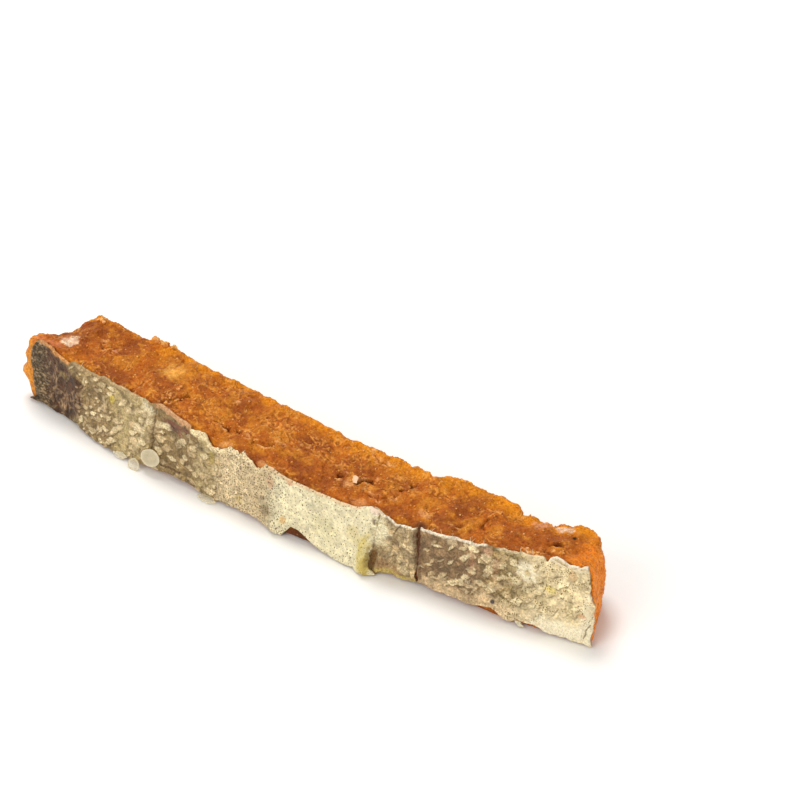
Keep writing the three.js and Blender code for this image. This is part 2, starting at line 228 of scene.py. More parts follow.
def unevenness(a, b, turn=0.0):
    """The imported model's uneven ground: plane waves, each turned by the golden angle and shorter."""
    longest, shortest, waves, height = 12.0, 2.6, 14, 0.45
    golden = math.pi * (3 - math.sqrt(5))
    total = 0.0
    for i in range(waves):
        length = longest * (shortest / longest) ** (i / (waves - 1))
        angle = golden * i + turn
        along = a * math.cos(angle) + b * math.sin(angle)
        total = total + np.sin(2 * math.pi * along / length + angle * angle) * math.sqrt(length / longest)
    return height * total / math.sqrt(waves)


print("strip from", LEFT_END, "to", RIGHT_END, "mm, skin at its middle", float(skin_top(0.0)), "mm high")


# %% [markdown]
# ## Meshes from arrays
# Every surface here is a grid of points. A tube is rings of points with a middle point at each end.
# A sheet with a thickness is two grids that share their border, like a pillow case, so it is closed
# and its rim is round. numpy works out all points at once and Blender takes them in one go.

# %% Building meshes
def tube(rings, first_pole, last_pole):
    """Points and faces of a closed surface: quads between the rings, a fan of triangles at each end."""
    count, around = rings.shape[:2]
    k = np.arange(around)
    following = (k + 1) % around
    start = np.arange(count - 1)[:, None] * around
    quads = np.stack([start + k, start + following, start + around + following, start + around + k], -1)
    last = (count - 1) * around
    poles = count * around
    first_fan = np.stack([np.full(around, poles), following, k], -1)
    last_fan = np.stack([np.full(around, poles + 1), last + k, last + following], -1)
    points = np.concatenate([rings.reshape(-1, 3), [first_pole], [last_pole]])
    return points, quads.reshape(-1, 4).tolist() + first_fan.tolist() + last_fan.tolist()


def grid_quads(index):
    """Corner numbers of each square of a grid of point numbers."""
    corners = (index[:-1, :-1], index[1:, :-1], index[1:, 1:], index[:-1, 1:])
    return np.stack(corners, -1).reshape(-1, 4)


def pillow(front, back):
    """Two grids that share their border, as points and faces; the back's faces are turned round."""
    columns, rows = front.shape[:2]
    index = np.arange(columns * rows).reshape(columns, rows)
    behind = index.copy()
    behind[1:-1, 1:-1] = columns * rows + np.arange((columns - 2) * (rows - 2)).reshape(columns - 2, -1)
    faces = grid_quads(index).tolist() + grid_quads(behind)[:, ::-1].tolist()
    return both_sides(front, back), faces


def both_sides(front, back):
    """Values of a pillow's points in their order: the whole front, then the inside of the back."""
    width = front.shape[-1]
    return np.concatenate([front.reshape(-1, width), back[1:-1, 1:-1].reshape(-1, width)])


def joined(parts):
    """Several (points, faces) in one list of points and one list of faces."""
    points, faces, start = [], [], 0
    for part_points, part_faces in parts:
        points.append(part_points)
        faces += [[start + corner for corner in face_corners] for face_corners in part_faces]
        start += len(part_points)
    return np.concatenate(points), faces


def add_piece(name, points, faces, material, colours=None, values=None):
    """A Blender object of these points in mm, smooth, with its colour and value attributes."""
    mesh = bpy.data.meshes.new(name)
    mesh.from_pydata(((points + PLACE) * MM).tolist(), [], faces)
    mesh.polygons.foreach_set("use_smooth", np.ones(len(mesh.polygons), bool))
    for label, colour in (colours or {}).items():
        layer = mesh.attributes.new(label, "FLOAT_COLOR", "POINT")
        opaque = np.concatenate([colour, np.ones((len(colour), 1))], axis=1)
        layer.data.foreach_set("color", opaque.astype(np.float32).ravel())
    for label, value in (values or {}).items():
        layer = mesh.attributes.new(label, "FLOAT", "POINT")
        layer.data.foreach_set("value", value.astype(np.float32).ravel())
    mesh.materials.append(material)
    piece = bpy.data.objects.new(name, mesh)
    bpy.context.scene.collection.objects.link(piece)
    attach(piece, "root")
    print(name, len(points), "points,", sum(len(corners) - 2 for corners in faces), "triangles")
    return piece


# %% [markdown]
# ## Nodes in few words
# A material is a graph of nodes. Two small helpers make one node a line: `node` sets its fields and
# links its sockets, `maths` is the Math node. Colours are written as an eye or a paint chart gives
# them, 0 to 255, and turned into the linear values that light adds up in.

# %% Node helpers
def colour(red, green, blue):
    """A screen colour, 0 to 255, as linear light."""
    screen = np.array((red, green, blue)) / 255
    return np.where(screen <= 0.04045, screen / 12.92, ((screen + 0.055) / 1.055) ** 2.4)


def rgba(linear):
    """Linear light as the four numbers that a colour socket takes."""
    return (*linear, 1.0)


def node(tree, kind, links=None, **fields):
    """A node of this kind with its fields set; links gives each input a socket to link or a value."""
    made = tree.nodes.new(kind)
    for label, value in fields.items():
        setattr(made, label, value)
    for label, value in (links or {}).items():
        if isinstance(value, bpy.types.NodeSocket):
            tree.links.new(value, made.inputs[label])
        else:
            made.inputs[label].default_value = value
    return made


def maths(tree, operation, a, b=0.0, c=0.0):
    """The value of a Math node, clamped to nothing."""
    return node(tree, "ShaderNodeMath", {0: a, 1: b, 2: c}, operation=operation).outputs[0]


def fade(tree, value, low, high):
    """A smooth rise of a value from 0 at low to 1 at high; it falls where low is over high."""
    limits = {"Value": value, "From Min": min(low, high), "From Max": max(low, high),
              "To Min": float(low > high), "To Max": float(low < high)}
    return node(tree, "ShaderNodeMapRange", limits, interpolation_type="SMOOTHSTEP").outputs[0]


def blend(tree, share, a, b, how="MIX"):
    """A Mix node for colours."""
    made = node(tree, "ShaderNodeMix", {0: share, 6: a, 7: b}, data_type="RGBA", blend_type=how)
    return made.outputs[2]


def attribute(tree, name, output="Fac"):
    """A mesh attribute's value or colour."""
    return node(tree, "ShaderNodeAttribute", attribute_name=name).outputs[output]


def millimetres(tree):
    """Object coordinates in millimetres."""
    place = node(tree, "ShaderNodeTexCoord").outputs["Object"]
    return node(tree, "ShaderNodeMapping", {"Vector": place, "Scale": (1 / MM,) * 3}).outputs[0]


def new_material(name):
    """An empty material with a Principled shader on its output, as (material, tree, shader)."""
    material = bpy.data.materials.new(name)
    material.use_nodes = True
    tree = material.node_tree
    tree.nodes.clear()
    shader = node(tree, "ShaderNodeBsdfPrincipled")
    node(tree, "ShaderNodeOutputMaterial", {"Surface": shader.outputs[0]})
    return material, tree, shader


def new_group(name, inputs, outputs):
    """An empty node group with named value, vector or colour sockets, as (group, inputs, outputs)."""
    group = bpy.data.node_groups.new(name, "ShaderNodeTree")
    for side, sockets in (("INPUT", inputs), ("OUTPUT", outputs)):
        for label, kind in sockets.items():
            group.interface.new_socket(label, in_out=side, socket_type=f"NodeSocket{kind}")
    start = node(group, "NodeGroupInput").outputs
    end = node(group, "NodeGroupOutput")
    return group, start, end


def use_group(tree, group, links):
    """A group placed in a material, with its sockets linked or set."""
    return node(tree, "ShaderNodeGroup", links, node_tree=group).outputs


def tinted_tone(tree, tint):
    """The mesh's own tone times a tint."""
    return blend(tree, 1.0, attribute(tree, "tone", "Color"), tint, "MULTIPLY")


def add_bump(tree, shader, height):
    """A bump of this height in metres on the shader's normal."""
    bump = node(tree, "ShaderNodeBump", {"Height": height, "Distance": 1.0, "Strength": 1.0})
    tree.links.new(bump.outputs[0], shader.inputs["Normal"])


def set_inputs(shader, settings):
    """Constant values on a shader's own sockets."""
    for label, value in settings.items():
        shader.inputs[label].default_value = value


# %% [markdown]
# ## Grain, shared by every finish
# Mince, fat and skin all have a fine broken grain. One node group makes it, from cells of random
# brightness and soft noise, and each material sets its own size.

# %% The grain group
def grain_group():
    """Puts out a value from 0 to 1 that changes from grain to grain, and a height for bumps."""
    group, start, end = new_group(
        "broken_grain", {"Place": "Vector", "Grains per mm": "Float"},
        {"Value": "Float", "Height": "Float"})
    density = start["Grains per mm"]
    wobble = node(group, "ShaderNodeTexNoise", {
        "Vector": start["Place"], "Scale": density, "Detail": 1.0})
    shift = node(group, "ShaderNodeVectorMath", {
        0: wobble.outputs["Color"], "Scale": maths(group, "DIVIDE", 0.8, density)}, operation="SCALE")
    bent = node(group, "ShaderNodeVectorMath", {
        0: start["Place"], 1: shift.outputs[0]}, operation="ADD").outputs[0]
    cells = node(group, "ShaderNodeTexVoronoi", {"Vector": bent, "Scale": density})
    fine = node(group, "ShaderNodeTexNoise", {
        "Vector": bent, "Scale": maths(group, "MULTIPLY", density, 1.4), "Detail": 3.0,
        "Roughness": 0.62}).outputs["Fac"]
    own = node(group, "ShaderNodeSeparateColor", {0: cells.outputs["Color"]}).outputs[0]
    soft = maths(group, "MULTIPLY_ADD", fine, 2.4, -0.9)
    value = maths(group, "MULTIPLY_ADD", own, 0.4, soft)
    value = node(group, "ShaderNodeClamp", {"Value": value}).outputs[0]
    domes = maths(group, "MULTIPLY", cells.outputs["Distance"], -0.6)
    height = maths(group, "MULTIPLY_ADD", fine, 0.9, domes)
    group.links.new(value, end.inputs["Value"])
    group.links.new(height, end.inputs["Height"])
    return group


broken_grain = grain_group()
print("group", broken_grain.name, "with", len(broken_grain.nodes), "nodes")

# %% [markdown]
# ## The mince's finish
# Dried salmon is orange-brown and slightly see-through: thin edges glow, hollows go red-brown, and
# moist grains throw tiny golden glints. The large changes of colour are worked out with the shape and
# kept in an attribute, with painted shade in the hollows and a painted glow at thin edges; the nodes add
# the grain, golden specks with painted glints, and the bump. A grain that is lighter is also yellower,
# as thin fish is, so each grain's value picks a tint between a dark and a light one.

# %% Mince material
COARSE_GRAINS, FINE_GRAINS = 0.8, 2.4  # grains per mm
COARSE_SHARE, FINE_SHARE = 0.45, 0.55  # of the tint that each sets
COARSE_BUMP, FINE_BUMP = 0.18, 0.09  # mm
DARK_GRAIN, LIGHT_GRAIN = (0.50, 0.34, 0.28, 1), (1.52, 1.86, 2.2, 1)  # what a grain does to the tone
# How thickly the golden specks and painted glints cover the tone
SPECK_AND_GLINT_STRENGTH = 0.55
# Golden specks of the flesh and painted glints of moist grains: cells per mm, radius in cells, share of the
# cells left out, colour
SPECKS_AND_GLINTS = [(1.3, 0.26, 0.86, (230, 152, 64)), (2.6, 0.30, 0.945, (246, 190, 130))]


def mince_material():
    material, tree, shader = new_material("dried_mince")
    place = millimetres(tree)
    coarse = use_group(tree, broken_grain, {"Place": place, "Grains per mm": COARSE_GRAINS})
    fine = use_group(tree, broken_grain, {"Place": place, "Grains per mm": FINE_GRAINS})
    value = maths(tree, "MULTIPLY", fine["Value"], FINE_SHARE)
    value = maths(tree, "MULTIPLY_ADD", coarse["Value"], COARSE_SHARE, value)
    tint = blend(tree, value, DARK_GRAIN, LIGHT_GRAIN)
    result = tinted_tone(tree, tint)
    # Golden specks and painted glints: pale spots of colour that stand in for tiny highlights
    for density, radius, share, paint in SPECKS_AND_GLINTS:
        cells = node(tree, "ShaderNodeTexVoronoi", {"Vector": place, "Scale": density})
        own = node(tree, "ShaderNodeSeparateColor", {0: cells.outputs["Color"]}).outputs[1]
        round_fleck = fade(tree, cells.outputs["Distance"], radius + 0.12, radius - 0.08)
        specks_and_glints = maths(tree, "MULTIPLY", round_fleck, fade(tree, own, share, share + 0.04))
        result = blend(tree, maths(tree, "MULTIPLY", specks_and_glints, SPECK_AND_GLINT_STRENGTH), result, rgba(colour(*paint)))
    tree.links.new(result, shader.inputs["Base Color"])
    tree.links.new(maths(tree, "MULTIPLY_ADD", fine["Value"], 0.25, 0.35), shader.inputs["Roughness"])
    height = maths(tree, "MULTIPLY", fine["Height"], FINE_BUMP)
    height = maths(tree, "MULTIPLY_ADD", coarse["Height"], COARSE_BUMP, height)
    add_bump(tree, shader, maths(tree, "MULTIPLY", height, MM))
    set_inputs(shader, {"Subsurface Weight": 0.25, "Subsurface Radius": (1.0, 0.4, 0.12),
                        "Subsurface Scale": 0.8 * MM, "Specular IOR Level": 0.18,
                        "Specular Tint": (1.0, 0.62, 0.25, 1)})
    return material


dried_mince = mince_material()
print("material", dried_mince.name)

# %% [markdown]
# ## The mince's shape
# The bar was pressed flat and then cut, so its top is a plain of grains with cracks and small holes,
# its back and ends are torn, and its underside is flat on the table. The smooth bar is a rounded
# square stretched between the measured lines. Then each point moves along its own normal by a relief
# of plates, clumps and grains, low on the pressed side and rough on the torn ones.

# %% Named sizes of the mince
STATIONS = 560
SIDE_POINTS = {"back": 40, "top": 84, "front": 12, "bottom": 18}
CAP_RINGS = 22
CORNER_ROUND = 0.16
END_BULGE = 0.8
END_REACH = 5.0
# The rounded corner at the right end: its reach along the strip, and how far it cuts the back and the top
CORNER_REACH, CORNER_CUT_BACK, CORNER_CUT_TOP = 2.0, 1.6, 0.5
# Lumps of the two ends: centre y and z, half width across and up, height
LEFT_LUMPS = [
    (-5.0, 6.2, 2.2, 1.9, 2.9), (-5.6, 10.4, 1.9, 1.7, 1.3), (-4.6, 2.6, 2.0, 1.2, 1.1),
    (1.5, 14.0, 2.5, 4.0, -1.0)]
RIGHT_LUMPS = [(3.5, 7.0, 4.0, 5.0, 0.5)]
# Bites out of the back: centre x, half width, depth
BACK_NOTCHES = [(25.2, 1.4, 1.6), (45.4, 1.5, 1.7), (5.6, 0.8, 0.5), (19.6, 0.7, 0.6), (-27.6, 0.5, 0.4),
                (55.3, 0.8, 0.8)]
# Holes in the top: centre x and y, half length, half width, depth, turn in degrees
PITS = [
    (14.9, -4.3, 1.8, 0.85, 2.0, 35), (9.9, -5.6, 1.2, 1.0, 1.5, 70), (23.0, -2.3, 1.2, 0.6, 1.3, 10),
    (23.2, -0.3, 0.5, 0.6, 0.8, 30), (56.3, -1.6, 1.5, 0.7, 1.1, 25), (-28.5, -3.2, 0.5, 0.9, 0.9, 5),
    (-16.4, -6.3, 0.8, 0.6, 1.2, 5), (-13.6, -6.1, 0.7, 0.5, 1.0, 12)]
# Cracks in the top: half width, depth, and the line that they follow in x and y
CRACKS = [
    (0.16, 0.6, [(-28.5, -2.4), (-28.6, -4.7), (-28.9, -6.4), (-29.3, -7.6), (-30.5, -9.3)]),
    (0.25, 0.7, [(-19.0, -6.0), (-17.6, -6.4), (-15.6, -6.5)]),
    (0.10, 0.45, [(-14.0, -6.0), (-12.0, -7.0), (-9.6, -7.2), (-7.6, -6.9), (-6.2, -6.4), (-4.9, -4.9),
                 (-3.2, -3.5), (-2.2, -2.8), (-0.4, -1.9)]),
    (0.25, 0.6, [(-54.2, 2.4), (-53.2, 0.8), (-51.8, -0.9)]),
    (0.15, 0.5, [(11.8, 3.0), (13.6, 2.5), (16.6, 1.9)]),
    (0.20, 0.6, [(36.4, -6.7), (38.0, -5.8)]), (0.22, 0.7, [(40.7, -1.3), (41.0, -3.0), (41.8, -3.9)]),
    (0.18, 0.6, [(54.6, -3.4), (55.6, -4.2), (56.8, -4.4)]), (0.15, 0.5, [(-40.0, -8.0), (-37.6, -8.6)]),
    (0.15, 0.5, [(16.6, -6.6), (18.6, -6.9), (20.2, -7.2)]), (0.15, 0.4, [(22.4, -5.6), (22.9, -4.0)])]


def rounded_section():
    """One ring of the unit square, from -1 to 1, as (to the back, up): back, top, front and bottom in
    turn, with the corners pulled in onto arcs."""
    def side(name):
        return (np.arange(SIDE_POINTS[name]) + 0.5) / SIDE_POINTS[name] * 2 - 1
    back, top, front, bottom = (side(name) for name in ("back", "top", "front", "bottom"))
    across = np.concatenate([np.ones_like(back), -top, -np.ones_like(front), bottom])
    up = np.concatenate([back, np.ones_like(top), -front, -np.ones_like(bottom)])
    core = 1 - CORNER_ROUND
    over = np.maximum(np.abs([across, up]) - core, 0)
    length = np.hypot(*over)
    pull = np.where(length > CORNER_ROUND, CORNER_ROUND / np.maximum(length, 1e-9), 1)
    kept = np.minimum(np.abs([across, up]), core)
    return np.sign([across, up]) * (kept + over * pull)


def smooth_mince(station, across, up):
    """The bar before its relief: across and up go from -1 to 1 between skin and back, table and top."""
    share = (across + 1) / 2
    rise = (up + 1) / 2
    flat_top = mix(meat_top(station), meat_ridge(station), share)
    z = rise * (flat_top - meat_sag(station) * np.sin(np.pi * share))
    y = mix(face(station, z) + HIDE_THICKNESS - BOND, meat_back(station), share)
    on_top = smoothstep(0.7, 0.95, up)
    on_back = smoothstep(0.7, 0.95, across) * smoothstep(-0.95, -0.5, up)
    for centre, along, deep in BACK_NOTCHES:
        y = y - deep * bell(station - centre, along) * on_back
    y = y + on_back * unevenness(station, z, 1) * mix(0.25, 0.7, smoothstep(-5, 20, station))
    turned = np.clip((station - RIGHT_END + CORNER_REACH) / CORNER_REACH, 0, 1)
    rounded = 1 - np.sqrt(1 - turned ** 2)
    y = y - CORNER_CUT_BACK * rounded * smoothstep(-0.2, 0.9, across)
    z = z - CORNER_CUT_TOP * rounded * rise
    left = 1 - smoothstep(LEFT_END, LEFT_END + END_REACH, station)
    right = smoothstep(RIGHT_END - END_REACH, RIGHT_END, station)
    x = station + end_lean(station) * (y - skin_foot(station))
    x = x - left * bumps(LEFT_LUMPS, y, z) + right * bumps(RIGHT_LUMPS, y, z)
    return np.stack([x, y, z + on_top * unevenness(x, y)], axis=-1)


def mince_rings():
    """All rings from the left end's middle to the right end's, and the two middle points."""
    across, up = rounded_section()
    scale = (np.arange(CAP_RINGS) + 0.5)[:, None] / CAP_RINGS
    swell = END_BULGE * np.sqrt(1 - scale ** 6)
    caps = {}
    for end, way in ((LEFT_END, -1), (RIGHT_END, 1)):
        cap = smooth_mince(np.full_like(scale, end), across * scale, up * scale)
        cap[..., 0] += way * swell * (1 + 0.6 * unevenness(cap[..., 1], cap[..., 2], 2))
        caps[way] = cap
    body = smooth_mince(np.linspace(LEFT_END, RIGHT_END, STATIONS + 1)[:, None], across, up)
    rings = np.concatenate([caps[-1], body, caps[1][::-1]])
    poles = caps[-1][0].mean(axis=0), caps[1][0].mean(axis=0)
    return rings, poles


def ring_normals(rings):
    """Outward unit normals of a grid of rings: the way round crossed with the way along."""
    along = np.gradient(rings, axis=0)
    around = np.roll(rings, -1, axis=1) - np.roll(rings, 1, axis=1)
    normal = np.cross(around, along)
    return normal / np.maximum(np.linalg.norm(normal, axis=-1, keepdims=True), 1e-9)


rings, poles = mince_rings()
normals = ring_normals(rings)
print("mince grid", rings.shape[:2], "along", [rings[..., 0].min().round(2), rings[..., 0].max().round(2)])


# %% Relief of the mince
def clump_relief(points, size, seed, crease):
    """Domes packed side by side: zero on a dome's top, down to -1 in the creases between them."""
    nearest, second, own = grains(points, size, seed)
    gap = smoothstep(0.0, crease, second - nearest)
    return (gap - 1) - 0.6 * nearest ** 2 + 0.4 * (own - 0.5)


def to_line(points, line):
    """Distance in the plane from each point to a line of straight stretches."""
    nearest = np.full(points.shape[:-1], np.inf)
    for a, b in zip(np.array(line[:-1]), np.array(line[1:])):
        along = b - a
        offset = points[..., :2] - a
        share = np.clip(offset @ along / (along @ along), 0, 1)
        nearest = np.minimum(nearest, np.linalg.norm(offset - share[..., None] * along, axis=-1))
    return nearest


def pit_depth(points):
    """How deep each point lies in the holes and cracks, and how near it is to a crack's broken edge."""
    ragged = points + 0.6 * np.stack([noise(points, 0.8, 61), noise(points, 0.8, 62),
                                       np.zeros(points.shape[:-1])], axis=-1)
    depth = np.zeros(points.shape[:-1])
    edge = np.zeros(points.shape[:-1])
    for x, y, long, wide, deep, turn in PITS:
        angle = math.radians(turn)
        along = (ragged[..., 0] - x) * math.cos(angle) + (ragged[..., 1] - y) * math.sin(angle)
        aside = (ragged[..., 1] - y) * math.cos(angle) - (ragged[..., 0] - x) * math.sin(angle)
        away = np.hypot(along / long, aside / wide)
        depth = np.maximum(depth, deep * smoothstep(1.15, 0.3, away))
        edge = np.maximum(edge, bell(away - 1.25, 0.25))
    for half_width, deep, line in CRACKS:
        away = to_line(ragged, line)
        depth = np.maximum(depth, deep * smoothstep(half_width + 0.3, 0.0, away))
        edge = np.maximum(edge, bell(away - half_width - 0.35, 0.28))
    return depth, edge


facing_up = smoothstep(0.5, 0.9, normals[..., 2])
facing_down = smoothstep(-0.5, -0.9, normals[..., 2])
facing_skin = smoothstep(-0.5, -0.9, normals[..., 1])
right_face = smoothstep(0.3, 0.8, normals[..., 0]) * smoothstep(60, 64, rings[..., 0])
torn = np.clip(1 - facing_up - facing_down - facing_skin, 0, 1)

clumps = clump_relief(rings, 2.9, 11, 0.28)
small_clumps = clump_relief(rings, 1.4, 23, 0.25)
crumb = clump_relief(rings, 0.7, 37, 0.3)
soft = layered_noise(rings, 3.4, 4, 41)
ground = layered_noise(rings, 3.8, 4, 51)
LEVELS = (-0.45, 0.0, 0.5)
plates = sum(smoothstep(level - 0.05, level + 0.05, ground) for level in LEVELS)
plate_rims = sum(bell(ground - level - 0.06, 0.06) for level in LEVELS)
# The foot of each plate step, where painted shade goes
plate_foot_shade = sum(bell(ground - level + 0.07, 0.05) for level in LEVELS)
# Both reliefs in mm: plates of flesh and fine grain where the bar was pressed, clumps where it is torn
pressed = 0.15 * (plates - 2) + 0.06 * small_clumps + 0.10 * crumb + 0.06 * soft + 0.12
rough = 0.10 * clumps + 0.12 * small_clumps + 0.16 * crumb + 0.12 * soft + 0.12
rough = rough * mix(0.35, 0.85, smoothstep(5, 35, np.abs(rings[..., 0] + 12)))
facing_left = smoothstep(-0.3, -0.8, normals[..., 0])
rough = rough + facing_left * (0.28 * clump_relief(rings, 2.3, 29, 0.4) + 0.15 + 0.18 * soft)
PORE_DEPTH, PORE_SHARE, PORE_RADIUS = 0.4, 0.22, 0.17  # mm, share of the cells, radius in cells
nearest, _, own = grains(rings, 2.4, 67)
pores = PORE_DEPTH * (own < PORE_SHARE) * np.sqrt(np.clip(1 - (nearest / PORE_RADIUS) ** 2, 0, 1))
on_top = (rings[..., 2] > 9.0) * (1 - facing_skin)
pits, broken_edge = pit_depth(rings)
pits = np.maximum(pits, pores * facing_up) * on_top
relief = pressed * (1 - torn) * (1 - 0.6 * facing_skin) + rough * torn
rings_out = rings + normals * (relief * (1 - 0.75 * facing_down))[..., None]
rings_out[..., 2] += 0.10 * broken_edge * on_top * noise(rings, 0.6, 69)
rings_out[..., 2] = np.maximum(rings_out[..., 2] - pits, 0.0)
print("relief", [relief.min().round(2), relief.max().round(2)], "mm, deepest pit", pits.max().round(2))

# %% [markdown]
# ## The mince's colour
# The large colours follow the shape: brown where the bar was pressed and handled, bright orange at the
# ends and at the thin back edge, where it is a painted glow of light shining through, and pale where a
# piece of fat lies in it or where a crack's edge crumbled. Painted shade goes dark red-brown in cracks,
# holes, at the foot of each plate and between clumps, and dark behind the skin's slit and under its
# arched hem; the right end's face is painted lighter, as if lit.

# %% Colour of the mince
ORANGE = colour(173, 89, 25)
BROWN = colour(138, 66, 24)
BRIGHT = colour(214, 126, 20)
AMBER = colour(200, 122, 34)
VIVID = colour(228, 124, 30)
# Painted shade for hollows, pits and the foot of plates
SHADE_RED = colour(86, 32, 10)
GOLD = colour(224, 146, 62)
PEACH = colour(226, 156, 92)
PINK = colour(212, 140, 98)
FAT = colour(230, 190, 152)
END_PINK = colour(216, 124, 76)
# Painted shade on the mince under the skin's arched hem
SHADE_UNDER_HEM = colour(92, 48, 24)
# Painted shade on the mince seen through the skin's narrow slit
SLIT_SHADE = colour(88, 54, 36)
# Patches: paint, centre x, y and z, half size along each, strength, seed
PATCHES = [
    (FAT, -58.9, -2.3, 16, 1.5, 2.1, 3, 0.95, 71), (FAT, -57.9, -3.9, 16, 0.9, 1.0, 3, 0.7, 72),
    (AMBER, -34.4, 1.8, 15, 4.2, 3.0, 3, 0.7, 75),
    (colour(230, 160, 72), -36.0, 1.6, 15, 2.2, 2.5, 3, 0.65, 76),
    (PINK, 50.2, 2.4, 14, 1.5, 2.2, 3, 0.8, 77), (FAT, 53.9, 4.4, 14, 1.7, 1.2, 3, 0.9, 78),
    (PEACH, 17.7, -9.6, 14, 2.0, 1.1, 3, 0.35, 79), (PEACH, 30.3, -6.6, 14, 1.6, 1.1, 3, 0.6, 80),
    (PEACH, 54.0, -6.2, 16, 1.9, 0.8, 3, 0.8, 81), (PEACH, -59.6, 7.6, 15, 0.7, 0.6, 3, 0.8, 82),
    (PINK, -49.9, 0.4, 15, 0.7, 0.6, 3, 0.7, 83),
    (colour(224, 156, 60), -52.4, -6.2, 15, 0.4, 0.5, 3, 0.6, 84),
    (END_PINK, -62.0, -5.5, 16, 3.0, 1.2, 3, 0.6, 85), (PEACH, 11.2, 4.2, 14, 0.6, 1.0, 3, 0.6, 86),
    (PEACH, -19.0, 0.8, 14, 0.7, 0.5, 3, 0.7, 87),
    (colour(34, 20, 10), 57.3, 2.6, 15, 0.6, 0.6, 2, 1.0, 88),
    (PEACH, 62.3, 5.4, 14, 0.8, 1.6, 3, 0.6, 89), (PEACH, -13.0, -10.6, 13, 1.3, 0.7, 3, 0.5, 91),
    (PEACH, -8.6, -11.2, 13, 1.1, 0.7, 3, 0.5, 92), (PEACH, -4.0, -11.0, 13, 1.3, 0.7, 3, 0.5, 93),
    (PEACH, 12.9, -6.2, 14, 1.2, 1.5, 3, 0.6, 90)]


def painted(tone, paint, weight):
    """Colour after a coat of paint, thick where the weight is 1."""
    return tone + (paint - tone) * np.clip(weight, 0, 1)[..., None]


def coats(tone, layers):
    """Coats of paint, one over the other: each is a paint and its weight."""
    for paint, weight in layers:
        tone = painted(tone, paint, weight)
    return tone


def ragged_patch(points, centre, half, seed):
    """A soft-edged oval patch with a ragged outline, on any side of the bar: one inside, zero outside."""
    offset = (points - np.array(centre)) / np.array(half)
    distance = np.linalg.norm(offset, axis=-1) + 0.5 * layered_noise(points, 1.3, 3, seed)
    return smoothstep(1.3, 0.6, distance)


x, y, z = np.moveaxis(rings_out, -1, 0)
share_back = (y - skin_brow(x)) / (meat_back(x) - skin_brow(x))
browned = smoothstep(-0.4, 0.5, layered_noise(rings, 6.0, 4, 83))
back_start = mix(0.78, 0.58, smoothstep(-10, 15, x))
back_glow = smoothstep(back_start, 0.99, share_back + 0.12 * layered_noise(rings, 3.0, 3, 5))
broken = facing_up * smoothstep(-0.2, 0.5, noise(rings, 2.8, 97))
# Painted shade goes on the mince here, under the skin's arched hem
shaded_hem_gap = bell(x - 5.2, 3.2) * smoothstep(3.8, 2.4, z)  # where the skin's hem arches up
tone = coats(np.broadcast_to(ORANGE, rings_out.shape), [
    (BROWN, browned * mix(0.8, 0.4, smoothstep(42, 52, x))),
    (AMBER, 0.6 * smoothstep(0.0, 0.7, layered_noise(rings, 2.6, 4, 91))),
    # Painted glow: the thin back edge made bright orange, as light shines through it
    (BRIGHT, 0.85 * back_glow * smoothstep(5, 12, z)),
    (mix(BRIGHT, GOLD, 0.55), 0.85 * smoothstep(-63.6, -66.4, x)),
    (VIVID, 0.85 * smoothstep(58.0, 63.5, x + 1.5 * noise(rings, 2.2, 6))),
    (END_PINK, 0.6 * right_face * smoothstep(0.5, 0.95, share_back))])
# Painted light: the right end's face made lighter, as if lit from that side
tone = tone * (1 + 0.35 * right_face)[..., None]
tone = coats(tone, [
    # Painted shade: dark red-brown between torn clumps and at the foot of each plate
    (SHADE_RED, 0.55 * torn * smoothstep(-0.05, -0.45, relief)),
    (GOLD, 0.8 * plate_rims * broken),
    (SHADE_RED, 0.5 * plate_foot_shade * broken),
    *((paint, strength * ragged_patch(rings, place[:3], place[3:], seed))
      for paint, *place, strength, seed in PATCHES),
    (PEACH, 0.9 * broken_edge * on_top * smoothstep(-0.1, 0.5, noise(rings, 0.9, 95))),
    # Painted shade in the pits and cracks
    (SHADE_RED, 0.85 * smoothstep(0.15, 0.8, pits)),
    # Painted shade behind the skin's slit
    (SLIT_SHADE, bell(rings[..., 0] - SLIT_CENTRE, 1.2) * smoothstep(0.16, 0.06, share_back)),
    # Painted shade under the arched hem
    (SHADE_UNDER_HEM, shaded_hem_gap * smoothstep(0.3, 0.1, share_back))])

mince_points, mince_faces = tube(rings_out, *poles)
mince_tone = np.concatenate([tone.reshape(-1, 3), tone[[0, -1]].mean(axis=1)])
mince = add_piece("mince", mince_points, mince_faces, dried_mince, {"tone": mince_tone})
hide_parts("meat")

# %% [markdown]
# ## The skin's finish
# Salmon skin is pale below and dark on the back, with fine black dots on the belly, pockets where the
# scales sat and shreds of silver film. What is larger than half a millimetre comes from the shape's
# own attributes; the nodes add what is finer: dots, specks, the light freckles of the dark part and a
# dry leathery bump. Loose scales are the same stuff, thinner, so they let some light through.

# %% Skin materials
SKIN_GRAINS, FILM_GRAINS = 2.2, 1.6  # grains per mm
SKIN_BUMP = 0.13  # mm
DARK_SKIN_GRAIN, LIGHT_SKIN_GRAIN = (0.55, 0.52, 0.46, 1), (1.42, 1.44, 1.50, 1)
DARK_FILM_GRAIN, LIGHT_FILM_GRAIN = (0.85, 0.84, 0.80, 1), (1.1, 1.1, 1.1, 1)
BEND = (0.6, 0.6, 0.0)  # mm by which noise shifts the rows of dots


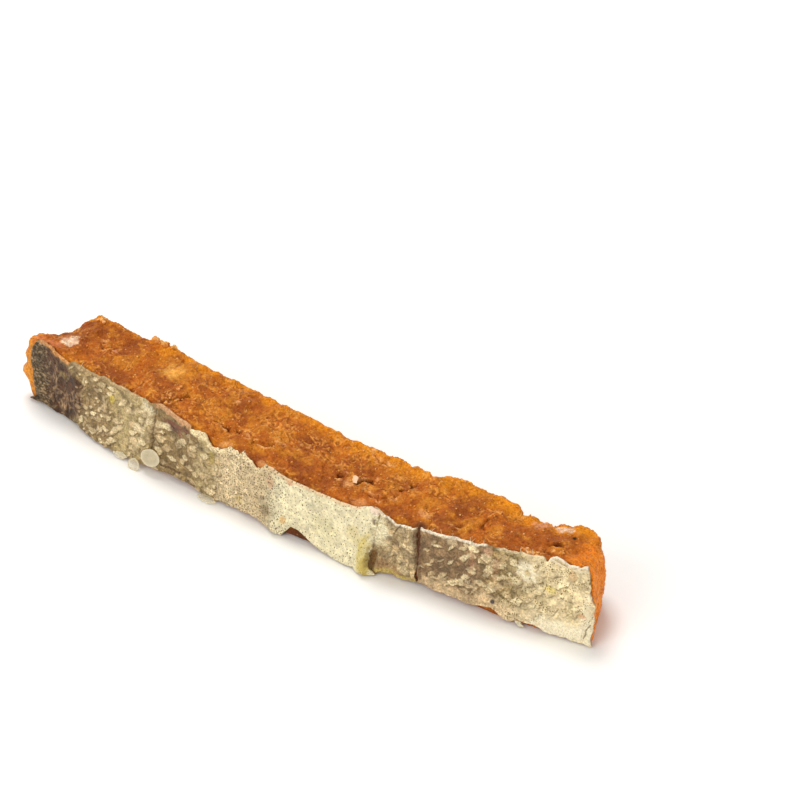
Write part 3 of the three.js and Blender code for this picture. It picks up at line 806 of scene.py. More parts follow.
def dot_group():
    """A field of round dots of uneven size: how much of a dot covers each place, 0 to 1."""
    group, start, end = new_group(
        "dots", {"Place": "Vector", "Dots per mm": "Float", "Radius": "Float", "Share": "Float"},
        {"Mask": "Float"})
    cells = node(group, "ShaderNodeTexVoronoi", {
        "Vector": start["Place"], "Scale": start["Dots per mm"], "Randomness": 0.8},
        voronoi_dimensions="2D")
    own = node(group, "ShaderNodeSeparateColor", {0: cells.outputs["Color"]}).outputs
    radius = maths(group, "MULTIPLY", start["Radius"], maths(group, "MULTIPLY_ADD", own[0], 0.8, 0.6))
    inside = maths(group, "SUBTRACT", radius, cells.outputs["Distance"])
    disc = fade(group, inside, -0.06, 0.06)
    kept = maths(group, "LESS_THAN", own[1], start["Share"])
    group.links.new(maths(group, "MULTIPLY", disc, kept), end.inputs["Mask"])
    return group


dots = dot_group()
# Fields of dots: the attribute that says where they are, dots per mm, radius in cells, share, colour
DOT_FIELDS = [
    ("dots", 1.3, 0.13, 0.8, colour(112, 96, 54)), ("fine_dots", 1.8, 0.22, 0.75, colour(98, 74, 44)),
    ("specks", 2.3, 0.26, 0.95, colour(116, 96, 46)), ("freckles", 1.9, 0.36, 0.6, colour(156, 138, 108))]


def skin_material():
    material, tree, shader = new_material("fish_skin")
    place = millimetres(tree)
    parts = node(tree, "ShaderNodeSeparateXYZ", {0: place}).outputs
    laid = node(tree, "ShaderNodeCombineXYZ", {0: parts[0], 1: parts[2]}).outputs[0]
    wobble = node(tree, "ShaderNodeTexNoise", {"Vector": laid, "Scale": 1.1, "Detail": 3.0})
    bent = node(tree, "ShaderNodeVectorMath", {
        0: wobble.outputs["Color"], 1: BEND, 2: laid}, operation="MULTIPLY_ADD").outputs[0]
    grain = use_group(tree, broken_grain, {"Place": place, "Grains per mm": SKIN_GRAINS})
    centred = maths(tree, "SUBTRACT", grain["Value"], 0.5)
    value = maths(tree, "MULTIPLY_ADD", centred, attribute(tree, "grainy"), 0.5)
    tint = blend(tree, value, DARK_SKIN_GRAIN, LIGHT_SKIN_GRAIN)
    result = tinted_tone(tree, tint)
    for label, density, radius, share, paint in DOT_FIELDS:
        field = use_group(tree, dots, {
            "Place": bent, "Dots per mm": density, "Radius": radius, "Share": share})
        covered = maths(tree, "MULTIPLY", field["Mask"], attribute(tree, label))
        result = blend(tree, covered, result, rgba(paint))
    tree.links.new(result, shader.inputs["Base Color"])
    tree.links.new(maths(tree, "MULTIPLY_ADD", grain["Value"], 0.3, 0.35), shader.inputs["Roughness"])
    height = maths(tree, "MULTIPLY", grain["Height"], SKIN_BUMP * MM)
    add_bump(tree, shader, height)
    set_inputs(shader, {"Subsurface Weight": 0.12, "Subsurface Radius": (1.0, 0.7, 0.4),
                        "Subsurface Scale": 0.5 * MM, "Specular IOR Level": 0.25})
    return material


def film_material():
    material, tree, shader = new_material("scale_film")
    grain = use_group(tree, broken_grain, {"Place": millimetres(tree), "Grains per mm": FILM_GRAINS})
    tint = blend(tree, grain["Value"], DARK_FILM_GRAIN, LIGHT_FILM_GRAIN)
    result = tinted_tone(tree, tint)
    tree.links.new(result, shader.inputs["Base Color"])
    tree.links.new(attribute(tree, "cover"), shader.inputs["Alpha"])
    set_inputs(shader, {"Roughness": 0.32, "Specular IOR Level": 0.4})
    return material


fish_skin = skin_material()
scale_film = film_material()
print("materials", fish_skin.name, "and", scale_film.name, "with group", dots.name)

# %% [markdown]
# ## The skin's shape
# The skin is a thin sheet that dried in wrinkles: one fold laps over itself left of the middle, the
# left piece ends in a rolled lip that stands off the next piece, and a slit parts it further on. Each
# piece is a grid over its own outline, pushed outwards by its folds, with a ragged rim.

# %% Named sizes of the skin
LIP_EDGE = [(0, 23.5), (0.12, 22.7), (0.3, 22.2), (0.45, 22.5), (0.75, 23.4), (1, 24.0)]
SLIT_NEAR = [(0, 31.3), (0.12, 31.2), (0.4, 31.3), (1, 31.6)]
SLIT_FAR = [(0, 31.3), (0.12, 31.3), (0.4, 31.7), (1, 32.1)]
HIDES = {
    "skin_left": {
        "start": [(0, -66.9), (0.1, -65.2), (0.45, -65.3), (0.62, -65.6), (0.82, -64.9), (1, -63.0)],
        "end": LIP_EDGE, "columns": 470, "rows": 92, "lifts": 0.9,
        # centre x and z, half width along and up, height
        "folds": [(-52.5, 7.0, 1.6, 5.0, 0.4), (-43.0, 9.0, 1.8, 4.0, 0.3), (-33.5, 3.5, 1.5, 2.0, 0.5),
                  (-29.0, 8.0, 1.0, 4.5, 0.2), (-17.0, 9.5, 1.5, 3.5, 0.4), (-8.7, 11.5, 1.4, 2.5, 0.4),
                  (0.4, 1.9, 1.9, 1.7, 1.1), (2.0, 8.0, 3.0, 4.5, 0.3), (21.4, 3.6, 1.1, 3.6, 0.9),
                  (19.2, 4.0, 0.7, 4.0, -0.35), (23.0, 13.2, 1.3, 1.8, 0.7)]},
    "skin_middle": {
        "start": [(share, x - LIP_OVERLAP) for share, x in LIP_EDGE],
        "end": SLIT_NEAR,
        "columns": 80, "rows": 84, "lifts": 0.0,
        "folds": [(29.5, 9.0, 1.5, 4.5, 0.3), (26.5, 9.0, 0.6, 3.0, -0.3), (28.5, 2.6, 1.4, 1.4, 0.5),
                  (31.6, 8.0, 0.5, 9.0, -0.5)]},
    "skin_right": {
        "start": SLIT_FAR,
        "end": [(0, 67.5), (0.4, 67.4), (0.55, 67.6), (0.62, 66.9), (1, 66.0)],
        "columns": 230, "rows": 92, "lifts": 0.0,
        "folds": [(32.2, 8.0, 0.5, 9.0, -0.5), (43.3, 10.5, 0.5, 3.0, -0.4), (45.5, 9.5, 1.4, 4.0, 0.4),
                  (61.0, 6.0, 4.0, 5.0, 0.3), (62.3, 17.0, 4.0, 0.9, 0.5), (36.0, 2.0, 3.0, 1.4, 0.3)]},
}
# Laps: a line of x for each z, how far the near side stands out, its run, the drop's width, and which
# way it falls: 1 to the right, -1 to the left
LAPS = [
    ([(4.0, -32.0), (5.6, -31.5), (10.0, -31.0), (15.3, -30.1)], 0.5, 1.9, 0.22, 1),
    ([(9.5, -21.2), (14.8, -20.8)], 0.5, 1.6, 0.3, -1),
    ([(1.0, -53.5), (3.0, -52.0), (9.0, -50.4), (12.5, -53.0)], 0.3, 2.0, 0.8, 1)]
MARK_SHADOW = 0.2  # how far a mark's shadow reaches to the lower right
# Fields of flakes and pockets where scales sat. Each has staggered rows of marks: from and to x, from
# and to z, steps along and up, jitter, share kept, half length, half width, slant in degrees, relief
# in mm, strength and seed
MARKS = [
    (-66.3, -60.5, 0.8, 15.8, 0.8, 0.62, 0.7, 0.75, 0.36, 0.22, 5, 0.06, 0.8, 181),
    (-61.5, -50.0, 0.8, 14.5, 1.5, 1.5, 1.0, 0.65, 1.3, 0.26, 65, 0.06, 0.6, 185),
    (-51.5, -42.5, 0.8, 14.6, 1.6, 1.2, 0.8, 0.9, 0.85, 0.45, 25, 0.06, 0.9, 101),
    (-42.5, -31.5, 1.0, 14.0, 2.1, 1.7, 1.0, 0.95, 0.95, 0.6, 30, 0.07, 1.0, 111),
    (-30.5, -14.5, 0.6, 12.2, 2.6, 1.6, 0.5, 0.95, 1.05, 0.75, 10, 0.11, 0.95, 121),
    (-15.0, -2.0, 0.8, 13.0, 1.9, 1.4, 1.0, 0.8, 0.8, 0.55, 20, 0.04, 0.5, 171),
    (24.6, 31.0, 3.0, 12.8, 1.8, 1.5, 1.0, 0.85, 0.95, 0.65, 35, 0.05, 0.6, 131),
    (32.8, 44.5, 2.4, 13.2, 2.0, 1.5, 1.0, 0.7, 1.1, 0.36, 38, 0.08, 1.0, 141),
    (33.0, 47.0, 0.8, 5.0, 1.9, 1.3, 1.0, 0.85, 1.0, 0.6, 30, 0.05, 0.7, 145),
    (42.0, 56.5, 1.6, 14.4, 1.7, 1.5, 1.0, 0.9, 1.0, 0.75, 20, 0.09, 0.9, 151),
    (55.0, 66.5, 4.0, 15.6, 2.1, 1.7, 1.0, 0.85, 1.0, 0.7, 20, 0.05, 0.95, 161)]


def stretch(x, low, high, soft):
    """One between low and high, falling off over the softness at both."""
    return smoothstep(low - soft, low + soft, x) * smoothstep(high + soft, high - soft, x)


def marks(x, z):
    """All marks: how far each point is covered, the relief in mm, the shadow beside a mark, and the
    mark's own lightness. A mark is a diamond with round corners, turned, with a ragged soft edge."""
    cover, relief, shadow, light = (np.zeros_like(x) for _ in range(4))
    plane = flat(x, z)
    ragged = 0.30 * layered_noise(plane, 0.7, 2, 71)
    x, z = x + 0.35 * noise(plane, 1.3, 73), z + 0.35 * noise(plane, 1.3, 74)
    for low, high, foot, top, step_x, step_z, jitter, kept, *looks in MARKS:
        long, wide, slant, height, strength, seed = looks
        rng = np.random.default_rng(seed)
        for row, level in enumerate(np.arange(foot, top, step_z)):
            for start in np.arange(low + step_x / 2 * (row % 2), high, step_x):
                chance, aside, above, size, turn, own = rng.random(6)
                if chance > kept:
                    continue
                centre = start + jitter * step_x * (aside - 0.5), level + jitter * step_z * (above - 0.5)
                angle = math.radians(slant + 60 * (turn - 0.5))
                half = (0.5 + 0.9 * size) * np.array((long, wide))
                inside, beside = (
                    diamond(x - centre[0] - shift, z - centre[1] + shift, angle, half, ragged)
                    for shift in (0.0, MARK_SHADOW))
                shade = strength * mix(0.6, 1.0, own)
                light = np.where(inside > 0.3, own + 0.5 * smoothstep(50, 58, start), light)
                cover = np.maximum(cover, shade * inside)
                shadow = np.maximum(shadow * (1 - inside), shade * np.clip(beside - inside, 0, 1))
                relief = np.maximum(relief, height * inside)
    return cover, relief, shadow, light


def scale_cells(x, z):
    """The pockets of the scales, as cells packed side by side: each cell's own lightness, the line where
    two cells meet, and how plain they are to see, which changes along the strip."""
    plane = flat(x, z)
    nearest, second, own = grains(plane + 0.25 * noise(plane, 0.9, 64)[..., None], 1.25, 65)
    seam = smoothstep(0.16, 0.03, second - nearest)
    strength = (0.6 * stretch(x, -52, -15, 2) + 0.7 * stretch(x, 24, 44, 1.5) + stretch(x, 44, 55, 3)
                + 0.4 * stretch(x, 57, 66, 3))
    return own, seam, strength


def crinkles(x, z):
    """Dry ridges from 0 to 1, along the lines where a layered noise is zero, times how crinkled the skin
    is there: most between the lip and the slit, some at the fish's dark back and past the slit."""
    ridges = smoothstep(0.5, 0.0, np.abs(layered_noise(flat(x, z), 2.2, 3, 63)))
    strength = stretch(x, 24.5, 31.6, 1.2) + 0.4 * stretch(x, 32, 60, 3) + 0.6 * stretch(x, -68, -50, 2)
    return ridges, strength


def diamond(x, z, angle, half, ragged):
    """One inside a round-cornered diamond, zero outside: its size is the 1.2-norm of the place in it."""
    along = np.abs(x * math.cos(angle) + z * math.sin(angle)) / half[0]
    aside = np.abs(z * math.cos(angle) - x * math.sin(angle)) / half[1]
    return smoothstep(1.15, 0.85, (along ** 1.2 + aside ** 1.2) ** (1 / 1.2) + ragged)


def lap_relief(x, z):
    """Each lap rises slowly towards its line and drops behind it, and fades out at its two ends."""
    total = 0.0
    for line, out, run, drop, way in LAPS:
        foot, head = line[0][0], line[-1][0]
        beyond = way * (x - smooth_line(line)(z))
        rise = bell(np.minimum(beyond, 0), run) * smoothstep(drop, 0, beyond)
        total = total + out * rise * smoothstep(foot - 2, foot + 1, z) * smoothstep(head + 2, head, z)
    return total


def spread_shares(count, fine=(0.003, 0.008, 0.015)):
    """Shares from 0 to 1, with a few more close to both ends for the rim."""
    inner = np.linspace(0, 1, count)
    return np.sort(np.concatenate([inner, fine, 1 - np.array(fine)]))


def hide_grid(hide):
    """x, z and the distances to the rim, the top and the hem, on a grid over a piece's outline with its
    ragged edges."""
    share = spread_shares(hide["rows"])[None, :]
    along = spread_shares(hide["columns"], (0.0005, 0.0013))[:, None]
    start = smooth_line(hide["start"])(share)
    end = smooth_line(hide["end"])(share)
    x = mix(start, end, along)
    level = np.zeros_like(x)
    rim_noise = layered_noise(flat(x, level), 1.7, 4, 7) * (1 - 0.5 * stretch(x, 2, 19, 2))
    jagged = 0.35 * stretch(x, -18, -2.5, 2) * layered_noise(flat(x, level), 0.8, 3, 21)
    top = skin_top(x) + 0.30 * rim_noise + jagged
    hem = np.maximum(skin_hem(x) + 0.25 * layered_noise(flat(x, level), 2.2, 4, 9), 0.05)
    z = mix(hem, top, share)
    side_noise = layered_noise(flat(mix(hem, top, share), level), 2.0, 4, 15)
    x = x + 0.28 * side_noise * (1 - 2 * along) * (np.abs(1 - 2 * along) > 0.9)
    to_rim = np.minimum(np.minimum(z - hem, top - z), np.minimum(x - start, end - x))
    return x, z, np.maximum(to_rim, 0.0), top - z, z - hem


def skin_lift(x, z, lifts):
    """How far the left piece stands off the mince, where it passes over the start of the next piece:
    fully at its rolled lower half, and less above."""
    lifted = min(edge_x for _, edge_x in LIP_EDGE) - LIP_OVERLAP - 0.4
    return lifts * smoothstep(lifted - 2.2, lifted, x) * mix(1.0, 0.2, smoothstep(6.0, 9.5, z))


print("hides:", {name: hide["columns"] * hide["rows"] for name, hide in HIDES.items()})

# %% [markdown]
# ## The skin's colours
# From left to right the strip passes from the fish's dark back over its scaly flank to the pale belly
# and up the flank again. Each stretch is a coat of paint between two places along the strip, with a
# wavering border, and pockets with painted shadows beside them, stains, some of them painted shade,
# creases painted dark as shade, crinkles with painted light and shade, and a pale rim lie on top.

# %% Colour of the skin
DARK_HIDE = colour(78, 48, 24)
SLATE = colour(72, 54, 24)
KHAKI = colour(146, 122, 80)
OLIVE = colour(176, 155, 108)
ROSY = colour(211, 189, 148)
IVORY = colour(234, 223, 184)
YELLOW = colour(212, 194, 122)
GREY_BEIGE = colour(184, 160, 118)
GREY_BROWN = colour(142, 114, 80)
MARK = colour(190, 163, 120)
PALE = colour(236, 216, 170)
BUTTER = colour(250, 238, 204)
RIM = colour(226, 206, 166)
WHITE = colour(236, 224, 198)
INSIDE = colour(150, 104, 66)
GAP = colour(104, 82, 50)
# Dark paint along creases, as painted shade
CREASE_SHADE = colour(84, 58, 36)
GREENISH = colour(176, 156, 102)
LOW_PEACH, LOW_CREAM = colour(224, 194, 148), colour(238, 218, 176)
DARK_THREADS = colour(168, 136, 100)
DARK_MARK, DARK_SHADOW = colour(180, 150, 110), colour(46, 34, 26)
# Border of the fish's dark back: x for each z
dark_border = smooth_line([(0, -56), (1.5, -54.6), (3, -52.4), (6, -50.8), (9, -50.3), (11, -50.6),
                           (12.5, -53), (14, -56.2), (17, -58.8)])
# Stretches of each piece: paint, from x, to x, softness
STRETCHES = {
    "skin_left": [
        (KHAKI, -80, -42, 2.0), (OLIVE, -42, -30.8, 1.6), (KHAKI, -30.8, -22, 2.0),
        (OLIVE, -20, -14.5, 1.5), (ROSY, -15.0, -1.0, 2.0), (IVORY, -1.0, 30.0, 2.5)],
    "skin_middle": [(GREY_BEIGE, 0, 80, 1.0)],
    "skin_right": [
        (GREY_BROWN, 0, 46, 1.5), (KHAKI, 46, 51, 2.0), (OLIVE, 50, 55, 2.0), (PALE, 54, 80, 2.5)],
}
# Stains of each piece, some of them painted shade where marked: paint, centre x and z, half width along and
# up, strength
STAINS = {
    "skin_left": [
        (colour(214, 190, 84), -41.8, 12.0, 0.5, 0.8, 0.75),
        (colour(150, 128, 72), -55.8, 11.0, 1.3, 0.8, 0.4),
        (colour(204, 136, 70), -57.5, 15.6, 2.0, 1.2, 0.5),
        (colour(232, 206, 160), -36.0, 5.0, 1.0, 0.8, 0.9),
        (colour(232, 210, 166), -35.2, 8.4, 1.1, 1.0, 0.9),
        (colour(206, 186, 132), -38.6, 7.0, 1.2, 7.0, 0.3),
        (colour(222, 208, 172), -32.2, 14.3, 2.0, 1.1, 0.8),
        # Painted shade under the overhanging top rim, right of the lap: this stain and the next two
        (colour(96, 62, 50), -25.2, 12.2, 1.6, 0.7, 0.8),
        (colour(150, 98, 74), -23.8, 11.8, 0.7, 0.6, 0.6),
        (colour(120, 72, 54), -24.4, 13.3, 4.2, 0.55, 0.85),
        (colour(236, 216, 170), -18.8, 14.2, 1.8, 0.8, 0.9),
        (colour(182, 160, 84), -15.6, 10.4, 0.6, 1.6, 0.6),
        (colour(196, 174, 96), -9.0, 3.4, 0.9, 1.2, 0.4),
        (colour(140, 122, 90), -2.2, 4.2, 1.2, 1.2, 0.75),
        (colour(226, 172, 84), 2.1, 3.8, 0.6, 0.7, 0.65),
        (colour(208, 128, 84), 3.6, 12.8, 0.7, 0.6, 0.6),
        (colour(206, 140, 96), -1.2, 11.0, 0.9, 1.4, 0.4),
        (colour(214, 204, 150), 12.0, 6.0, 3.0, 2.6, 0.3),
        (colour(226, 208, 148), 18.6, 7.6, 1.4, 2.0, 0.5), (YELLOW, 21.2, 3.2, 1.5, 4.8, 0.75),
        (colour(196, 170, 76), 21.6, 2.2, 0.7, 2.6, 0.75),
        # Painted shade: the dark mouth along the lip's edge
        (colour(140, 116, 58), 22.1, 4.4, 0.3, 2.0, 0.6),
        (colour(232, 212, 190), 22.9, 14.6, 1.3, 0.8, 0.9),
        # Painted shade under the lip's top flap
        (colour(150, 116, 84), 22.8, 12.4, 0.35, 1.0, 0.6),
        (colour(176, 160, 116), 22.4, 9.6, 0.9, 0.9, 0.5)],
    "skin_middle": [
        # Painted shade of the dark mouth under the lip: the first stain on this line and the one on the
        # next line
        (colour(150, 106, 64), 24.2, 2.0, 1.5, 1.3, 0.55), (IVORY, 23.4, 10.6, 2.2, 4.2, 0.95),
        (colour(124, 88, 38), 22.5, 3.6, 0.5, 2.4, 0.95),
        (colour(160, 108, 68), 27.6, 2.2, 1.2, 0.8, 0.5),
        (colour(208, 188, 146), 29.0, 3.0, 1.3, 1.0, 0.7),
        (colour(200, 176, 96), 26.6, 0.7, 4.6, 0.9, 0.85),
        (colour(128, 104, 72), 26.2, 8.6, 1.4, 0.9, 0.6),
        # Painted shade at the slit's edge
        (colour(110, 80, 54), 31.4, 8.5, 0.4, 7.0, 0.6)],
    "skin_right": [
        # Painted shade at the slit's edge
        (colour(110, 80, 54), 31.8, 8.5, 0.5, 7.0, 0.6),
        (colour(176, 126, 92), 43.3, 10.8, 0.5, 2.6, 0.5),
        (colour(206, 160, 128), 46.3, 14.2, 1.0, 0.9, 0.6),
        (colour(150, 98, 66), 48.2, 11.0, 0.7, 2.0, 0.5),
        (colour(78, 72, 76), 47.9, 3.6, 0.45, 0.45, 0.95), (BUTTER, 54.3, 12.6, 1.9, 1.9, 0.8),
        (colour(206, 184, 130), 54.4, 12.4, 0.55, 0.55, 0.9),
        (colour(228, 206, 122), 58.9, 10.3, 1.2, 0.8, 0.8), (BUTTER, 62.0, 2.0, 6.0, 2.2, 0.95),
        (BUTTER, 66.4, 5.0, 1.2, 6.0, 0.7), (colour(204, 140, 84), 65.4, 6.6, 0.8, 0.5, 0.6),
        (colour(196, 152, 96), 63.0, 14.6, 0.8, 1.4, 0.5), (WHITE, 62.2, 17.0, 4.2, 0.7, 0.8),
        (RIM, 39.2, 13.6, 1.0, 0.7, 0.5), (RIM, 36.4, 14.2, 1.4, 0.4, 0.8)],
}
# Pale or cut rims along the top: paint, from x, to x, width, strength
RIMS = [
    (colour(190, 162, 118), -53, -34, 0.5, 0.6), (colour(210, 158, 112), -30.0, -20.9, 1.0, 0.8),
    (colour(236, 216, 170), -20.6, -3.0, 0.9, 0.75), (colour(226, 186, 140), -2.0, 20.0, 0.4, 0.6),
    (WHITE, 24.0, 31.3, 0.25, 0.95), (WHITE, 32.2, 46.0, 0.35, 0.8), (RIM, 48.0, 57.6, 0.4, 0.5),
    (WHITE, 58.2, 67.0, 0.5, 0.9), (colour(216, 150, 84), -62.5, -54.0, 0.5, 0.8)]
# Lines drawn on the skin, such as creases painted dark as painted shade, folds and a vein: paint,
# strength, half width, relief in mm, and the points in x and z
LINES = [
    (CREASE_SHADE, 0.8, 0.10, 0.0, [(28.2, 13.0), (27.2, 11.6), (26.6, 10.3)]),
    (CREASE_SHADE, 0.8, 0.10, 0.0, [(26.8, 9.4), (27.8, 8.6), (28.2, 7.4)]),
    (CREASE_SHADE, 0.8, 0.09, 0.0, [(66.9, 5.0), (66.3, 3.8), (66.2, 2.8), (65.8, 1.6)]),
    (CREASE_SHADE, 0.8, 0.18, -0.1, [(-29.4, 2.7), (-27.6, 2.5), (-24.2, 2.6)]),
    (CREASE_SHADE, 0.8, 0.14, -0.1, [(-22.0, 1.8), (-20.4, 1.2)]),
    (CREASE_SHADE, 0.8, 0.14, 0.0, [(23.3, 12.9), (22.9, 11.6)]),
    (PALE, 0.5, 0.30, 0.35, [(-31.0, 14.2), (-32.6, 10.0), (-34.6, 4.6)]),
    (PALE, 0.4, 0.25, 0.25, [(-31.4, 14.4), (-35.0, 12.0), (-37.5, 11.0)]),
    (CREASE_SHADE, 0.65, 0.1, -0.1, [(-29.9, 15.0), (-30.6, 10.0), (-31.1, 6.0), (-31.5, 4.6)]),
    (colour(204, 182, 88), 0.5, 0.4, 0.0,
     [(21.6, 8.6), (20.7, 6.6), (20.3, 4.0), (20.5, 1.8), (21.6, 0.3)])]


def wavering(plane):
    """The skin's plane a little bent, so that lines drawn on it waver."""
    return plane + 0.25 * noise(plane, 0.9, 57)[..., None]


def skin_paint(name, x, z, to_top, to_hem, marked, pockets, dry):
    """The tone of each point of the skin, and the strength of the finer patterns there."""
    cover, _, shadow, light = marked
    own, seam, celled = pockets
    ridges, crinkled = dry
    plane = flat(x, z)
    waver = 1.2 * layered_noise(plane, 3.5, 3, 31)
    dark = smoothstep(1.4, -1.4, x + waver - dark_border(z))
    scaly = stretch(x, -53, -15, 2.0) + 0.7 * stretch(x, 24, 56, 3.0)
    green = stretch(x, 48, 80, 3.0) * smoothstep(-0.1, 0.7, layered_noise(plane, 1.8, 4, 49))
    low_band = stretch(x, 32, 62, 2.0) * smoothstep(3.6, 1.6, to_hem + 1.4 * noise(plane, 2.0, 37))
    threads = smoothstep(0.07, 0.02, np.abs(layered_noise(plane * np.array((1, 0.6, 1)), 3.0, 3, 53)))
    tone = coats(np.broadcast_to(KHAKI, (*x.shape, 3)), [
        *((paint, stretch(x + 0.8 * waver, low, high, soft)) for paint, low, high, soft in STRETCHES[name]),
        (GAP, 0.55 * scaly * smoothstep(0.0, 0.7, layered_noise(plane, 1.4, 3, 35))),
        (GREENISH, 0.4 * green * smoothstep(1.5, 4.5, to_hem))])
    tone = tone * (1 + celled * (0.75 * (own - 0.5) + 0.15))[..., None]
    tone = coats(tone, [
        (GAP, 0.6 * celled * seam),
        (mix(MARK, PALE, light[..., None]), cover),
        (GAP, 0.85 * shadow),
        (mix(LOW_PEACH, LOW_CREAM, smoothstep(46, 58, x)[..., None]), 0.85 * low_band),
        (mix(DARK_HIDE, SLATE, smoothstep(-59.5, -63.0, x + waver)[..., None]), dark),
        (DARK_THREADS, 0.6 * dark * threads * smoothstep(-62, -59, x)),
        (DARK_MARK, 0.8 * dark * cover),
        (DARK_SHADOW, 0.6 * dark * shadow)])
    # Painted light and shade of the crinkles: lighter on their ridges, darker between them
    tone = tone * (1 + crinkled * (0.6 * ridges - 0.28))[..., None]
    mottled = 0.24 + 0.2 * dark + 0.1 * stretch(x, -15, -1, 2)
    mottle = 0.14 * layered_noise(plane, 2.2, 3, 33) + mottled * layered_noise(plane, 0.75, 2, 34)
    tone = tone * np.clip(1 + mottle, 0.5, 1.6)[..., None]
    stain_edge = 0.40 * layered_noise(plane, 1.1, 3, 39)
    for paint, centre, height, along, up, strength in STAINS[name]:
        reach = np.hypot((x - centre) / along, (z - height) / up) + stain_edge
        tone = painted(tone, paint, strength * smoothstep(1.35, 0.65, reach))
    rim_edge = 1 + 0.5 * layered_noise(plane, 1.3, 3, 43)
    for paint, low, high, width, strength in RIMS:
        weight = stretch(x, low, high, 0.3) * smoothstep(0.2, -0.15, to_top - width * rim_edge)
        tone = painted(tone, paint, strength * weight)
    bent = wavering(plane)
    for paint, strength, half_width, _, line in LINES:
        weight = smoothstep(2 * half_width, 0.5 * half_width, to_line(bent, line))
        tone = painted(tone, paint, strength * weight)
    chains = smoothstep(0.34, 0.08, np.abs(layered_noise(plane, 1.9, 3, 47)))
    low_corner = smoothstep(0.8, 1.5, np.hypot((x - 63) / 7.0, z / 4.6))
    patterns = {
        "dots": stretch(x + waver, -6, 22.5, 2.5),
        "fine_dots": 0.85 * stretch(x + waver, -16, 2, 2.0),
        "specks": stretch(x + waver, 47, 68, 3.0) * chains * low_corner * (to_top > 0.8),
        "freckles": dark * mix(0.25, 1.0, smoothstep(-59.0, -62.0, x)) * 0.25,
    }
    dotted = float(name != "skin_middle")
    patterns = {label: value * dotted for label, value in patterns.items()}
    patterns["grainy"] = 1 - 0.6 * patterns["dots"] - 0.45 * stretch(x, 52, 80, 3)
    return tone, patterns


# %% Making the pieces of skin
# Heights in mm of what wrinkles the skin
WRINKLES, LEATHER, RIDGES, POCKETS = 0.20, 0.09, 0.16, 0.08


def make_hide(name, hide):
    """A piece of skin: its outer grid lies over the measured face, pushed out by lift, folds, laps and
    wrinkles, and its inner grid is one thickness behind, drawn together at the rim."""
    x, z, to_rim, to_top, to_hem = hide_grid(hide)
    plane = flat(x, z)
    smooth_belly = 1 - 0.55 * stretch(x, 3, 20, 2)
    wrinkles = WRINKLES * layered_noise(plane * np.array((1, 0.4, 1)), 2.4, 3, 17) * smooth_belly
    leathery = LEATHER * layered_noise(plane, 0.9, 3, 19) * smooth_belly
    marked = marks(x, z)
    own, seam, celled = pockets = scale_cells(x, z)
    ridges, crinkled = dry = crinkles(x, z)
    out = skin_lift(x, z, hide["lifts"]) + bumps(hide["folds"], x, z) + lap_relief(x, z)
    out = out + wrinkles + marked[1] + leathery
    out = out + RIDGES * crinkled * ridges + POCKETS * celled * (own - seam)
    bent = wavering(plane)
    for _, _, half_width, height, line in LINES:
        out = out + height * bell(to_line(bent, line), 1.5 * half_width)
    body = np.sqrt(np.clip(1 - (1 - np.clip(to_rim / (HIDE_THICKNESS / 2), 0, 1)) ** 2, 0, 1))
    middle = face(x, z) - out + HIDE_THICKNESS / 2
    front = np.stack([x, middle - body * HIDE_THICKNESS / 2, z], axis=-1)
    back = np.stack([x, middle + body * HIDE_THICKNESS / 2, z], axis=-1)
    points, faces = pillow(front, back)
    tone, patterns = skin_paint(name, x, z, to_top, to_hem, marked, pockets, dry)
    inside = np.broadcast_to(INSIDE, tone.shape)
    values = {
        label: both_sides(value[..., None], 0 * value[..., None]) for label, value in patterns.items()}
    piece = add_piece(
        name + "_hide", points, faces, fish_skin, {"tone": both_sides(tone, inside)}, values)
    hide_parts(name)
    return piece


for hide_name, hide in HIDES.items():
    make_hide(hide_name, hide)

# %% [markdown]
# ## Loose scales, crumbs and threads
# Some scales hang on the skin's hem as thin, milky discs, a few crumbs lie on the back edge, and the
# cut rim of the skin is frayed. A disc is rings of points about its middle, a crumb is a small ball
# made uneven, a thread is a thin tapering tube. All of one kind are joined into one piece.

# %% Flakes, crumbs and threads
FILM_WHITE = colour(240, 228, 196)
FILM_CREAM = colour(232, 216, 180)
# Flakes: paint, cover, middle, half axis along, half axis across, dome, raggedness
FLAKES = [
    (FILM_WHITE, 0.34, (-30.8, -12.3, 3.9), (2.3, 0, 0.1), (0.1, 0.5, 1.75), 0.35, 0.03),
    (FILM_WHITE, 0.26, (-34.7, -12.9, 1.0), (1.35, 0.1, 0), (0, 0.5, 1.25), 0.2, 0.06),
    (FILM_WHITE, 0.5, (-38.8, -11.8, 0.9), (1.7, 0.1, -0.1), (0.2, 0.3, 0.6), 0.2, 0.25),
    (FILM_WHITE, 0.25, (-16.6, -12.7, 0.5), (2.3, -0.1, 0.1), (0.0, 0.7, 0.3), 0.2, 0.12),
    (FILM_WHITE, 0.9, (53.3, -9.1, 0.8), (0.9, 0.2, -0.3), (-0.15, 0.2, 0.4), 0.1, 0.35),
    (colour(238, 200, 166), 1.0, (13.2, -4.9, 13.4), (0.9, -1.1, 0.2), (0.6, 0.3, 0.45), 0.1, 0.2),
    (colour(240, 214, 190), 1.0, (23.4, -12.0, 15.2), (1.3, 0.2, -0.1), (0.1, -0.4, 0.6), 0.5, 0.12),
    (FILM_CREAM, 1.0, (67.0, -7.6, 8.4), (0.6, 0, 0.3), (-0.2, -0.1, 0.8), 0.1, 0.25),
    (FILM_CREAM, 1.0, (61.0, -7.3, 16.7), (1.8, 0.1, -0.2), (0.1, -0.4, 0.4), 0.25, 0.3),
    (FILM_CREAM, 1.0, (64.6, -6.9, 16.6), (1.3, 0.1, 0.2), (0.1, -0.4, 0.5), 0.2, 0.3)]


def unit(vector):
    """A direction of length one."""
    return np.array(vector, float) / np.linalg.norm(vector)


